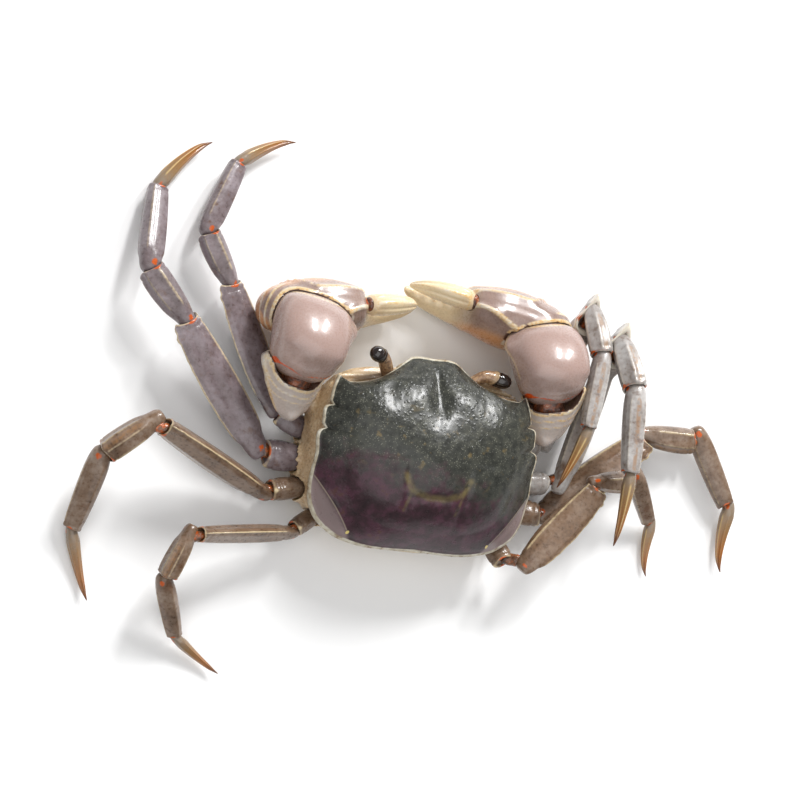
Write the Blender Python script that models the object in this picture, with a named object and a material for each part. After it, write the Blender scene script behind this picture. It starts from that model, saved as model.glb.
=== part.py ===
"""A whole cooked mud crab lying on its belly, legs and claws drawn in.

Metres, +Z up, the crab's face towards -Y, the origin on the floor under the middle of its shell.
Each plate of shell that shows from outside is its own closed solid, with a small gap where the
soft joint skin of the real animal lets it bend.
"""

import math

import bpy
import bmesh
from mathutils import Matrix, Vector

MM = 0.001
GAP = 0.3 * MM
JOINT_GAP = 0.55
FIT = 0.35
# Where two pieces fold back on each other, how far the outer one slides along and steps aside.
FOLD_SLIDE = 0.42
FOLD_STEP = 0.42
SHARP_ANGLE = 50

# The back shell, from the middle of the front edge round the crab's left side to the rear, in mm.
# Each run is a smooth line, and the runs meet in corners: the teeth and notches of the side edge.
FRONT_RUN = [(0.0, -14.4), (2.4, -15.0), (4.5, -14.1)]
ORBIT_RUN = [
    (4.5, -14.1),
    (6.2, -12.6),
    (8.0, -11.3),
    (10.5, -10.2),
    (13.0, -9.7),
    (14.6, -9.8),
    (15.5, -10.5),
]
FIRST_TOOTH = [(15.5, -10.5), (16.3, -8.6), (16.6, -6.4)]
FIRST_NOTCH = [(16.6, -6.4), (16.1, -5.8)]
SECOND_TOOTH = [(16.1, -5.8), (17.1, -5.5), (17.5, -2.9)]
SECOND_NOTCH = [(17.5, -2.9), (17.0, -2.2)]
FLANK_RUN = [
    (17.0, -2.2),
    (17.7, -1.7),
    (17.9, 1.6),
    (18.1, 5.2),
    (17.6, 9.0),
    (15.0, 12.6),
    (11.0, 14.4),
]
REAR_RUN = [(11.0, 14.4), (5.5, 15.0), (0.0, 15.0)]
OUTLINE_RUNS = [
    (FRONT_RUN, 4),
    (ORBIT_RUN, 8),
    (FIRST_TOOTH, 2),
    (FIRST_NOTCH, 1),
    (SECOND_TOOTH, 3),
    (SECOND_NOTCH, 1),
    (FLANK_RUN, 10),
    (REAR_RUN, 3),
]

SHELL = {
    "hub": (0.0, 3.0),
    "crown": 18.8,
    "lip": 1.3,
    "half_width": 17.4,
    "half_length": 14.6,
    "roundness": 3.0,
    "rings": (0.25, 0.46, 0.63, 0.77, 0.88, 0.95, 0.985),
    "outline_from": 0.8,
    "dome": (2.3, 0.85),
    "relief_fade": 8,
    "underside": ((0.995, 0.6), (0.965, 1.3), (0.5, 0.1)),
}
# Height of the shell's edge above the floor, read at a distance y from the middle.
EDGE_HEIGHTS = [
    (-15.5, 12.0),
    (-10.0, 13.0),
    (-3.0, 12.8),
    (2.0, 11.6),
    (7.0, 9.4),
    (11.0, 8.8),
    (15.5, 8.8),
]

# The body under the shell: share of the height, half width, front y, rear y, in mm.
BODY_LEVELS = [
    (0.0, 10.5, -6.5, 10.0),
    (0.10, 13.6, -8.8, 11.4),
    (0.28, 17.0, -11.0, 12.8),
    (0.45, 18.2, -12.2, 13.4),
    (0.72, 17.8, -13.2, 13.7),
    (1.0, 16.6, -13.5, 13.7),
]
BODY_SQUARENESS = 3.8
BODY_SPOKES = 44

# Short bars of body that hold the legs and claws, in mm.
LEG_ROOT = {"radius": 2.55, "length": 3.0}
CLAW_ROOT = {"radius": 2.3, "inner": (10.6, -4.4, 4.8), "outer": (18.2, -7.4, 6.6)}

# The hollow under the front edge that each eye lies in.
ORBIT = {"inner": (5.4, -13.4, 11.2), "outer": (14.0, -12.4, 11.2), "radius": 2.1}
EYES = {
    "left": {"base": (6.8, -14.0, 10.9), "tip": (11.0, -14.2, 15.7)},
    "right": {"base": (6.6, -13.9, 10.8), "tip": (13.5, -12.7, 11.3)},
}
EYE_STATIONS = [
    (0.0, 1.2, 1.2),
    (0.1, 1.9, 1.9),
    (0.45, 2.0, 2.0),
    (0.62, 2.4, 2.4),
    (0.8, 2.9, 2.9),
    (0.94, 2.2, 2.2),
    (1.0, 1.1, 1.1),
]

# The tail flap, tucked under the belly: y, height of its middle, width and thickness, in mm.
FLAP = [
    (13.95, 5.9, 10.6, 1.3),
    (13.3, 3.8, 10.2, 1.3),
    (11.9, 1.9, 9.6, 1.3),
    (9.6, 0.75, 9.2, 1.5),
    (6.4, 0.75, 8.0, 1.5),
    (3.2, 0.75, 6.0, 1.5),
    (0.0, 0.75, 3.8, 1.5),
    (-2.6, 0.75, 2.2, 1.5),
]
# Its section: shares of the half width, and of the half thickness, round the bar.
FLAP_SECTION = [(1, -0.5), (1, 0.5), (0.75, 1), (-0.75, 1), (-1, 0.5), (-1, -0.5), (-0.75, -1), (0.75, -1)]

# The two mouth plates: lower and upper end of the left one, in mm.
MOUTH_PLATE = {"low": (2.35, -11.0, 2.9), "high": (2.75, -14.0, 9.3), "width": 4.3, "depth": 1.5}
MOUTH_STATIONS = [
    (0.0, 0.45, 0.7),
    (0.1, 0.8, 1.0),
    (0.42, 1.0, 1.0),
    (0.6, 0.86, 0.9),
    (0.72, 0.98, 1.0),
    (0.92, 0.8, 1.0),
    (1.0, 0.5, 0.7),
]

# Sections along each kind of limb piece: share of its length, of its depth, of its breadth, and
# how far its middle is lifted towards the crest, in shares of the depth.
HIP = [
    (0.0, 0.6, 0.6, 0.0),
    (0.15, 0.85, 0.85, 0.0),
    (0.6, 1.0, 1.0, 0.0),
    (0.92, 0.8, 0.85, 0.0),
    (1.0, 0.6, 0.65, 0.0),
]
MERUS = [
    (0.0, 0.55, 0.66, 0.0),
    (0.06, 0.72, 0.86, 0.0),
    (0.25, 0.94, 1.0, 0.0),
    (0.5, 1.0, 1.0, 0.02),
    (0.8, 0.84, 0.92, 0.03),
    (0.97, 0.62, 0.8, 0.0),
    (1.0, 0.48, 0.6, 0.0),
]
CARPUS = [
    (0.0, 0.56, 0.64, 0.0),
    (0.1, 0.76, 0.86, 0.0),
    (0.6, 1.0, 1.0, 0.04),
    (0.94, 0.94, 0.96, 0.02),
    (1.0, 0.74, 0.78, 0.0),
]
PROPODUS = [
    (0.0, 0.74, 0.74, 0.0),
    (0.06, 0.96, 0.96, 0.0),
    (0.4, 1.0, 1.0, 0.0),
    (0.92, 0.78, 0.84, 0.0),
    (1.0, 0.56, 0.62, 0.0),
]
DACTYL = [
    (0.0, 0.7, 0.7, 0.0),
    (0.08, 1.0, 1.0, 0.0),
    (0.45, 0.78, 0.74, 0.12),
    (0.8, 0.42, 0.42, 0.0),
    (1.0, 0.12, 0.12, -0.3),
]
LEG_PIECES = [
    {"name": "hip", "length": 5.4, "depth": 4.6, "breadth": 3.7, "crest": 0.1, "stations": HIP},
    {"name": "merus", "length": 20.5, "depth": 6.4, "breadth": 3.6, "crest": 0.35, "stations": MERUS},
    {"name": "carpus", "length": 8.4, "depth": 4.4, "breadth": 4.0, "crest": 0.15, "stations": CARPUS},
    {"name": "propodus", "length": 12.0, "depth": 3.9, "breadth": 3.6, "crest": 0.1, "stations": PROPODUS},
    {"name": "dactyl", "length": 10.5, "depth": 2.6, "breadth": 2.3, "crest": 0.0, "stations": DACTYL},
]
LEG_SIDES = 10

# Each leg: where it leaves the body (outwards, back, up, in mm), its size beside the third leg, which
# way the crest of its upper part faces, and how far its five pieces turn forwards and rise, in degrees.
LEGS = {
    "leg_left_1": {
        "root": (17.0, -2.6, 3.4),
        "size": 0.95,
        "crest": (1.0, 0.3, 0.5),
        "turns": [(26, 2), (65, 1), (60, 3), (112, -6), (150, -5)],
    },
    "leg_left_2": {
        "root": (17.8, 1.8, 3.6),
        "size": 1.06,
        "crest": (1.0, 0.3, 0.4),
        "turns": [(2, 6), (53, 6), (50, -2), (96, -16), (132, -2)],
    },
    "leg_left_3": {
        "root": (17.3, 6.2, 3.8),
        "size": 1.0,
        "crest": (0.0, 0.0, 1.0),
        "turns": [(-12, 10), (22, 20), (-40, -12), (-80, -31), (-108, -6)],
    },
    "leg_left_4": {
        "root": (14.8, 10.2, 4.2),
        "size": 0.82,
        "crest": (0.0, 0.0, 1.0),
        "turns": [(-38, 12), (-8, 20), (-70, -14), (-118, -34), (-146, -8)],
    },
    "leg_right_1": {
        "root": (17.0, -2.6, 3.4),
        "size": 0.95,
        "crest": (0.1, 0.0, -1.0),
        "turns": [(24, 2), (77, 2), (-84, 20), (-100, 3), (-112, -10)],
    },
    "leg_right_2": {
        "root": (17.8, 1.8, 3.6),
        "size": 1.06,
        "crest": (0.1, 0.0, -1.0),
        "turns": [(4, 2), (73, 3), (-82, 24), (-92, 3), (-96, -9)],
    },
    "leg_right_3": {
        "root": (17.3, 6.0, 3.3),
        "size": 1.0,
        "crest": (0.8, 0.3, 0.6),
        "turns": [(-4, 0), (40, 2), (0, 2), (-60, -4), (-96, -7)],
    },
    "leg_right_4": {
        "root": (14.6, 11.4, 4.4),
        "size": 0.82,
        "crest": (0.7, 0.7, 0.4),
        "turns": [(-66, 34), (51, 5), (10, -14), (-50, -34), (-92, -10)],
    },
}

# Each claw in the same terms: an upper arm, a knuckle, a palm with the fixed finger, a moving finger.
ARM = [
    (0.0, 0.26, 0.16, 0.0),
    (0.08, 0.4, 0.32, 0.0),
    (0.35, 0.68, 0.66, 0.0),
    (0.7, 0.93, 0.93, 0.0),
    (0.92, 1.0, 1.0, 0.0),
    (1.0, 0.9, 0.92, 0.0),
]
KNUCKLE = [
    (0.0, 0.56, 0.58, 0.0),
    (0.08, 0.78, 0.8, 0.0),
    (0.28, 0.96, 0.97, 0.0),
    (0.55, 1.0, 1.0, 0.0),
    (0.8, 0.93, 0.94, 0.0),
    (0.94, 0.7, 0.72, 0.0),
    (1.0, 0.42, 0.44, 0.0),
]
PALM = [
    (0.0, 0.34, 0.4, 0.0),
    (0.03, 0.55, 0.62, 0.0),
    (0.12, 0.82, 0.86, 0.0),
    (0.3, 1.0, 1.0, 0.0),
    (0.48, 1.0, 0.95, 0.0),
    (0.6, 0.9, 0.84, -0.02),
    (0.635, 0.5, 0.7, -0.22),
    (0.72, 0.4, 0.58, -0.27),
    (0.86, 0.27, 0.42, -0.24),
    (0.96, 0.15, 0.24, -0.12),
    (1.0, 0.06, 0.08, -0.04),
]
FINGER = [
    (0.0, 0.55, 0.6, -0.1),
    (0.08, 0.9, 0.9, 0.0),
    (0.35, 0.95, 0.95, 0.1),
    (0.65, 0.75, 0.78, 0.06),
    (0.9, 0.4, 0.45, -0.15),
    (1.0, 0.12, 0.14, -0.32),
]
CLAW_PIECES = [
    {"name": "arm", "depth": 8.4, "breadth": 9.8, "crest": 0.2, "sides": 12, "stations": ARM},
    {"name": "knuckle", "depth": 11.2, "breadth": 11.8, "crest": 0.0, "sides": 14, "stations": KNUCKLE},
    {"name": "palm", "depth": 11.8, "breadth": 8.4, "crest": 0.0, "sides": 14, "stations": PALM},
    {"name": "finger", "depth": 3.9, "breadth": 3.7, "crest": 0.0, "sides": 10, "stations": FINGER},
]
# Start and end of each claw piece, outwards, back and up, in mm.
CLAW_POSES = {
    "left": {
        "arm": ((21.3, -3.4, 7.9), (21.9, -12.2, 10.6)),
        "knuckle": ((21.5, -11.6, 12.2), (19.3, -22.0, 13.3)),
        "palm": ((27.2, -19.8, 8.4), (0.7, -23.8, 5.0)),
        "finger": ((10.2, -22.4, 9.8), (0.9, -24.0, 7.4)),
    },
    "right": {
        "arm": ((20.6, -4.0, 8.8), (20.7, -12.8, 11.3)),
        "knuckle": ((20.2, -12.6, 11.6), (18.2, -22.8, 12.1)),
        "palm": ((23.8, -21.8, 8.2), (-3.0, -26.8, 5.0)),
        "finger": ((6.8, -25.2, 9.6), (-2.8, -27.2, 7.3)),
    },
}

COLOURS = {
    "shell": ((0.075, 0.078, 0.058, 1.0), 0.25),
    "flank": ((0.42, 0.31, 0.19, 1.0), 0.45),
    "claw": ((0.52, 0.34, 0.24, 1.0), 0.3),
    "leg": ((0.30, 0.25, 0.19, 1.0), 0.3),
    "eye": ((0.012, 0.009, 0.008, 1.0), 0.1),
}


def clear_scene():
    """Leaves an empty scene, whatever was open."""
    for obj in list(bpy.data.objects):
        bpy.data.objects.remove(obj)


def make_material(name):
    """A plain Principled material in the colour that this part of the crab has."""
    colour, roughness = COLOURS[name]
    material = bpy.data.materials.new(name)
    material.use_nodes = True
    shader = material.node_tree.nodes["Principled BSDF"]
    shader.inputs["Base Color"].default_value = colour
    shader.inputs["Roughness"].default_value = roughness
    shader.inputs["Metallic"].default_value = 0.0
    return material


def smooth_run(points, count):
    """Count steps along a Catmull-Rom line through the points, without the last point."""
    ends = [points[0]] + list(points) + [points[-1]]
    pieces = len(points) - 1
    run = []
    for step in range(count):
        along = step / count * pieces
        k = min(int(along), pieces - 1)
        t = along - k
        a, b, c, d = (Vector(p) for p in ends[k : k + 4])
        bend = (2 * a - 5 * b + 4 * c - d) * t * t + (3 * b - a - 3 * c + d) * t ** 3
        run.append(0.5 * (2 * b + (c - a) * t + bend))
    return run


def read_table(table, value):
    """Straight-line reading of a two-column table."""
    for (low, first), (high, second) in zip(table, table[1:]):
        if value <= high:
            share = max(0.0, (value - low) / (high - low))
            return first + (second - first) * share
    return table[-1][1]


def shell_outline():
    """The whole outline of the back shell as (x, y) points in mm, from the front, left side first."""
    half = [point for run, count in OUTLINE_RUNS for point in smooth_run(run, count)]
    half.append(Vector(REAR_RUN[-1]))
    other_half = [Vector((-point.x, point.y)) for point in reversed(half[1:-1])]
    return half + other_half


def rounded_point(direction, half_width, front, rear, squareness):
    """Where a direction from the middle meets a rounded square, in mm."""
    half_length = rear if direction.y > 0 else -front
    reach = (abs(direction.x) / half_width) ** squareness + (abs(direction.y) / half_length) ** squareness
    return direction * reach ** (-1 / squareness)


def shell_relief(x, y):
    """The swellings and grooves of the back shell, in mm above its even dome."""

    def bump(cx, cy, wide, long):
        return math.exp(-(((x - cx) / wide) ** 2) - ((y - cy) / long) ** 2)

    relief = -0.7 * bump(0.0, -11.0, 0.9, 4.2)
    for side in (-1, 1):
        relief += 0.45 * bump(side * 3.0, -11.4, 2.0, 2.2)
        relief += 0.35 * bump(side * 7.5, -6.5, 3.4, 3.6)
        relief += 0.4 * bump(side * 11.5, 4.5, 3.6, 5.0)
        relief -= 0.4 * bump(side * 4.6, 4.8, 1.3, 2.4)
    return relief - 0.35 * bump(0.0, 7.2, 4.0, 0.9)


def add_object(name, mesh_builder, material):
    """Turns a bmesh into a named object, smooth but with its true edges kept."""
    bmesh.ops.recalc_face_normals(mesh_builder, faces=mesh_builder.faces)
    mesh = bpy.data.meshes.new(name)
    mesh_builder.to_mesh(mesh)
    mesh_builder.free()
    mesh.materials.append(material)
    mesh.shade_smooth()
    mesh.set_sharp_from_angle(angle=math.radians(SHARP_ANGLE))
    obj = bpy.data.objects.new(name, mesh)
    bpy.context.scene.collection.objects.link(obj)
    return obj


def skin_rings(builder, rings, first_end=None, last_end=None):
    """Joins rings of points by faces. An end is closed by a fan to its point, or by one flat face."""
    made = [[builder.verts.new(point) for point in ring] for ring in rings]
    count = len(rings[0])
    for lower, upper in zip(made, made[1:]):
        for k in range(count):
            after = (k + 1) % count
            builder.faces.new((lower[k], lower[after], upper[after], upper[k]))
    for ring, end in ((made[0], first_end), (made[-1], last_end)):
        if end is None:
            builder.faces.new(ring)
            continue
        tip = builder.verts.new(end)
        for k in range(count):
            builder.faces.new((ring[k], ring[(k + 1) % count], tip))


def build_shell(material):
    """The back shell: a low dome over the outline, with its lobes, and a thick lip under the edge."""
    hub = Vector(SHELL["hub"])
    edge = shell_outline()
    rings = []
    for share in SHELL["rings"] + (1.0,):
        crisp = max(0.0, (share - SHELL["outline_from"]) / (1 - SHELL["outline_from"]))
        ring = []
        for point in edge:
            smooth = rounded_point(
                point, SHELL["half_width"], -SHELL["half_length"], SHELL["half_length"], SHELL["roundness"]
            )
            flat = hub + (smooth.lerp(point, crisp) - hub) * share
            steep, full = SHELL["dome"]
            rise = (1 - share ** steep) ** full
            low = read_table(EDGE_HEIGHTS, point.y)
            height = low + (SHELL["crown"] - low) * rise
            height += shell_relief(flat.x, flat.y) * (1 - share ** SHELL["relief_fade"])
            ring.append(Vector((flat.x, flat.y, height)) * MM)
        rings.append(ring)
    for inset, drop in SHELL["underside"]:
        ring = []
        for point in edge:
            flat = hub + (point - hub) * inset
            low = read_table(EDGE_HEIGHTS, hub.y + (point.y - hub.y) * inset)
            ring.append(Vector((flat.x, flat.y, low - drop)) * MM)
        rings.append(ring)
    top = Vector((hub.x, hub.y, SHELL["crown"] + shell_relief(*hub))) * MM
    bottom = Vector((hub.x, hub.y, read_table(EDGE_HEIGHTS, hub.y) - SHELL["underside"][-1][1])) * MM
    builder = bmesh.new()
    skin_rings(builder, rings, top, bottom)
    return add_object("back_shell", builder, material)


def build_capsule(name, start, end, radius, material, sides=12):
    """A round bar with domed ends, used for the leg roots and to hollow the eye sockets."""
    start, end = Vector(start) * MM, Vector(end) * MM
    axis = (end - start).normalized()
    side = axis.orthogonal().normalized()
    up = axis.cross(side)
    length = (end - start).length
    profile = [(-0.9, 0.45), (-0.5, 0.87), (0.0, 1.0)]
    stops = [(a * radius * MM, r) for a, r in profile]
    stops += [(length - a * radius * MM, r) for a, r in reversed(profile)]
    rings = []
    for along, share in stops:
        ring = []
        for k in range(sides):
            angle = 2 * math.pi * k / sides
            offset = side * math.cos(angle) + up * math.sin(angle)
            ring.append(start + axis * along + offset * radius * share * MM)
        rings.append(ring)
    builder = bmesh.new()
    skin_rings(builder, rings)
    return add_object(name, builder, material)


def join_by_boolean(target, helpers, operation):
    """Adds or cuts the helper shapes, and then removes them."""
    group = bpy.data.collections.new(target.name + "_helpers")
    bpy.context.scene.collection.children.link(group)
    for helper in helpers:
        bpy.context.scene.collection.objects.unlink(helper)
        group.objects.link(helper)
    boolean = target.modifiers.new(operation.lower(), "BOOLEAN")
    boolean.operation = operation
    boolean.operand_type = "COLLECTION"
    boolean.collection = group
    boolean.solver = "EXACT"
    bpy.context.view_layer.objects.active = target
    bpy.ops.object.modifier_apply(modifier=boolean.name)
    for helper in helpers:
        bpy.data.objects.remove(helper)
    bpy.data.collections.remove(group)


def flap_rings(grow):
    """Sections across the tail flap, each a flat rounded bar, grown by a margin in mm."""
    rings = []
    for k, (y, z, width, thickness) in enumerate(FLAP):
        before = FLAP[max(k - 1, 0)]
        after = FLAP[min(k + 1, len(FLAP) - 1)]
        along = Vector((0.0, after[0] - before[0], after[1] - before[1])).normalized()
        outward = Vector((1.0, 0.0, 0.0)).cross(along)
        middle = Vector((0.0, y, z))
        if grow and k in (0, len(FLAP) - 1):
            middle += along * (grow if k else -3 * grow)
        half, deep = width / 2 + grow, thickness / 2 + grow
        ring = []
        for across, through in FLAP_SECTION:
            ring.append((middle + Vector((across * half, 0, 0)) + outward * through * deep) * MM)
        rings.append(ring)
    return rings


def build_tail_flap(material):
    """The narrow tail, folded forwards into a groove in the belly."""
    builder = bmesh.new()
    skin_rings(builder, flap_rings(0.0))
    return add_object("tail_flap", builder, material)


def section_points(sides, breadth, depth, crest):
    """One section of a limb piece: rounded, and drawn in towards its crest at the top."""
    points = []
    for k in range(sides):
        angle = 2 * math.pi * k / sides
        across, high = math.cos(angle), math.sin(angle)
        across = math.copysign(abs(across) ** 0.85, across)
        across *= 1 - crest * max(0.0, high)
        points.append((across * breadth / 2, high * depth / 2))
    return points


def piece_rings(piece, sides, length, size, grow=0.0):
    """The rings of a limb piece in its own frame: along +X, breadth along Y, crest towards +Z, in mm."""
    rings = []
    for along, deep, broad, lift in piece["stations"]:
        depth = piece["depth"] * size * deep + 2 * grow
        breadth = piece["breadth"] * size * broad + 2 * grow
        rise = lift * piece["depth"] * size
        section = section_points(sides, breadth, depth, piece["crest"])
        rings.append([Vector((along * length, y, z + rise)) * MM for y, z in section])
    return rings


def build_piece(name, piece, sides, start, end, crest, size, material, grow=0.0):
    """A limb piece placed between two points, its crest turned the given way, or the hollow for it."""
    start, end = Vector(start), Vector(end)
    axis = (end - start).normalized()
    across = crest.cross(axis).normalized()
    up = axis.cross(across)
    builder = bmesh.new()
    start -= axis * grow
    end += axis * grow
    skin_rings(builder, piece_rings(piece, sides, (end - start).length, size, grow))
    obj = add_object(name, builder, material)
    turn = Matrix((axis, across, up)).transposed().to_4x4()
    obj.matrix_world = Matrix.Translation(start * MM) @ turn
    return obj


def limb_direction(side, forwards, rise):
    """A direction from how far it turns forwards from straight out, and how far it rises."""
    turn, lift = math.radians(forwards), math.radians(rise)
    return Vector((side * math.cos(lift) * math.cos(turn), -math.cos(lift) * math.sin(turn), math.sin(lift)))


def leg_places(name):
    """Start, end and crest of each piece of a leg, in mm, from the body outwards.

    The pieces bend about one hinge line. Where two of them fold back on each other, the outer one
    steps to the inner side of the bend, by half of both their depths.
    """
    leg = LEGS[name]
    side = 1 if "left" in name else -1
    out, back, up = leg["root"]
    joint = Vector((side * out, back, up))
    directions = [limb_direction(side, *turn) for turn in leg["turns"]]
    crest = Vector((side * leg["crest"][0], leg["crest"][1], leg["crest"][2]))
    hinge = crest.cross(directions[1]).normalized()
    places = {}
    before = None
    for piece, direction in zip(LEG_PIECES, directions):
        depth = piece["depth"] * leg["size"]
        if before is not None:
            fold = (1 - before["direction"].dot(direction)) / 2
            joint += before["direction"] * (math.sqrt(fold) * FOLD_SLIDE * depth)
            joint -= before["crest"] * (fold * FOLD_STEP * (depth + before["depth"]))
        end = joint + direction * piece["length"] * leg["size"]
        before = {"direction": direction, "crest": direction.cross(hinge).normalized(), "depth": depth}
        places[piece["name"]] = (piece, joint.copy(), end, before["crest"])
        joint = end + direction * JOINT_GAP
    return places


def build_leg(name, material):
    """The pieces of a walking leg."""
    size = LEGS[name]["size"]
    for piece, start, end, crest in leg_places(name).values():
        build_piece(f"{name}_{piece['name']}", piece, LEG_SIDES, start, end, crest, size, material)


def build_claw_piece(side_name, piece, material, grow=0.0):
    """One piece of a claw, or the hollow that it turns in."""
    side = 1 if side_name == "left" else -1
    ends = CLAW_POSES[side_name][piece["name"]]
    start, end = (Vector((side * out, back, z)) for out, back, z in ends)
    name = f"claw_{side_name}_{piece['name']}" + ("_hollow" if grow else "")
    crest = Vector((0.0, 0.0, 1.0))
    return build_piece(name, piece, piece["sides"], start, end, crest, 1.0, material, grow)


def build_claw(side_name, material):
    """A claw, folded in front of the face. The arm and the palm close round the knuckle."""
    arm, knuckle, palm, finger = CLAW_PIECES
    made = {piece["name"]: build_claw_piece(side_name, piece, material) for piece in CLAW_PIECES}
    for piece, inner_ones in ((arm, [knuckle]), (palm, [knuckle, finger])):
        hollows = [build_claw_piece(side_name, inner, material, FIT) for inner in inner_ones]
        join_by_boolean(made[piece["name"]], hollows, "DIFFERENCE")


def build_mouth_plate(side_name, grow, material):
    """One of the two plates that close over the mouth, or the hollow that it sits in."""
    side = 1 if side_name == "left" else -1
    low, high = (Vector((side * x, y, z)) for x, y, z in (MOUTH_PLATE["low"], MOUTH_PLATE["high"]))
    axis = (high - low).normalized()
    stretch = grow * 1.4
    piece = {
        "stations": [(along, deep, broad, 0.0) for along, broad, deep in MOUTH_STATIONS],
        "depth": MOUTH_PLATE["depth"],
        "breadth": MOUTH_PLATE["width"],
        "crest": 0.0,
    }
    builder = bmesh.new()
    low -= axis * stretch
    high += axis * stretch
    skin_rings(builder, piece_rings(piece, 10, (high - low).length, 1.0, grow))
    name = f"mouth_plate_{side_name}" if grow == 0 else f"mouth_hollow_{side_name}"
    obj = add_object(name, builder, material)
    across = Vector((1.0, 0.0, 0.0))
    outward = axis.cross(across).normalized()
    across = outward.cross(axis)
    turn = Matrix((axis, across, outward)).transposed().to_4x4()
    obj.matrix_world = Matrix.Translation(low * MM) @ turn
    return obj


def build_eye(side_name, material):
    """An eye on its stalk, standing up or lying in its socket."""
    side = 1 if side_name == "left" else -1
    pose = EYES[side_name]
    base, tip = (Vector((side * x, y, z)) for x, y, z in (pose["base"], pose["tip"]))
    piece = {
        "stations": [(along, deep, broad, 0.0) for along, deep, broad in EYE_STATIONS],
        "depth": 1.0,
        "breadth": 1.0,
        "crest": 0.0,
    }
    return build_piece(f"eye_{side_name}", piece, 10, base, tip, Vector((0.0, 0.0, 1.0)), 1.0, material)


def build_body(material):
    """The body under the shell: side walls, face and flat belly, with leg roots and sockets."""
    rings = []
    for share, half_width, front, rear in BODY_LEVELS:
        ring = []
        for k in range(BODY_SPOKES):
            angle = 2 * math.pi * (k + 0.5) / BODY_SPOKES
            direction = Vector((math.sin(angle), -math.cos(angle)))
            flat = rounded_point(direction, half_width, front, rear, BODY_SQUARENESS)
            top = read_table(EDGE_HEIGHTS, flat.y) - SHELL["lip"] - GAP / MM
            ring.append(Vector((flat.x, flat.y, top * share)) * MM)
        rings.append(ring)
    builder = bmesh.new()
    hub_y = SHELL["hub"][1]
    middle = Vector((0.0, hub_y, read_table(EDGE_HEIGHTS, hub_y) - SHELL["lip"] - GAP / MM))
    skin_rings(builder, rings, None, middle * MM)
    body = add_object("body", builder, material)
    roots = []
    hollows = []
    for name, leg in LEGS.items():
        piece, start, end, crest = leg_places(name)["hip"]
        size = leg["size"]
        inner = start - (end - start).normalized() * LEG_ROOT["length"]
        inner.z = start.z
        roots.append(build_capsule(name + "_root", inner, start, LEG_ROOT["radius"] * size, material))
        hollow_name = name + "_hollow"
        hollows.append(build_piece(hollow_name, piece, LEG_SIDES, start, end, crest, size, material, FIT))
    for side_name, side in (("left", 1), ("right", -1)):
        inner, outer = ((side * x, y, z) for x, y, z in (CLAW_ROOT["inner"], CLAW_ROOT["outer"]))
        roots.append(build_capsule(f"claw_root_{side_name}", inner, outer, CLAW_ROOT["radius"], material))
        hollows.append(build_claw_piece(side_name, CLAW_PIECES[0], material, FIT))
        inner, outer = ((side * x, y, z) for x, y, z in (ORBIT["inner"], ORBIT["outer"]))
        hollows.append(build_capsule(f"socket_{side_name}", inner, outer, ORBIT["radius"], material))
        hollows.append(build_mouth_plate(side_name, FIT, material))
    builder = bmesh.new()
    skin_rings(builder, flap_rings(FIT))
    hollows.append(add_object("flap_groove", builder, material))
    join_by_boolean(body, roots, "UNION")
    join_by_boolean(body, hollows, "DIFFERENCE")
    return body


def main():
    clear_scene()
    shell = make_material("shell")
    flank = make_material("flank")
    claw = make_material("claw")
    leg = make_material("leg")
    eye = make_material("eye")
    build_shell(shell)
    build_body(flank)
    build_tail_flap(flank)
    for side_name in ("left", "right"):
        build_mouth_plate(side_name, 0.0, flank)
        build_eye(side_name, eye)
        build_claw(side_name, claw)
    for name in LEGS:
        build_leg(name, leg)


main()
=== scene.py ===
import math
import bpy
import numpy as np
from mathutils import Matrix, Vector, noise
from mathutils.bvhtree import BVHTree


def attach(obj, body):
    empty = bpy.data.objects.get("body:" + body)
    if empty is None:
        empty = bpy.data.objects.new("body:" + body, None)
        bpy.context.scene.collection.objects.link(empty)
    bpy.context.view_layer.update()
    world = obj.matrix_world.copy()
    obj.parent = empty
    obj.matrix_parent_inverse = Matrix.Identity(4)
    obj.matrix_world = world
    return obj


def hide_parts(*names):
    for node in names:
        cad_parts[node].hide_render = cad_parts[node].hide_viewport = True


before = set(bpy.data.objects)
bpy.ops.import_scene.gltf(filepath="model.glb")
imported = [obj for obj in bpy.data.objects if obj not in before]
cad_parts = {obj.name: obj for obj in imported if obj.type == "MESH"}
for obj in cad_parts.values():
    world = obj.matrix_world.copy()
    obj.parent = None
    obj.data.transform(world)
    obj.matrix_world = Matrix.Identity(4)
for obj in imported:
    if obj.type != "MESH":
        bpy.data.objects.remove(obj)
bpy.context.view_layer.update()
mm = 0.001
print("frame loaded", len(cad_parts), "nodes")


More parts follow.
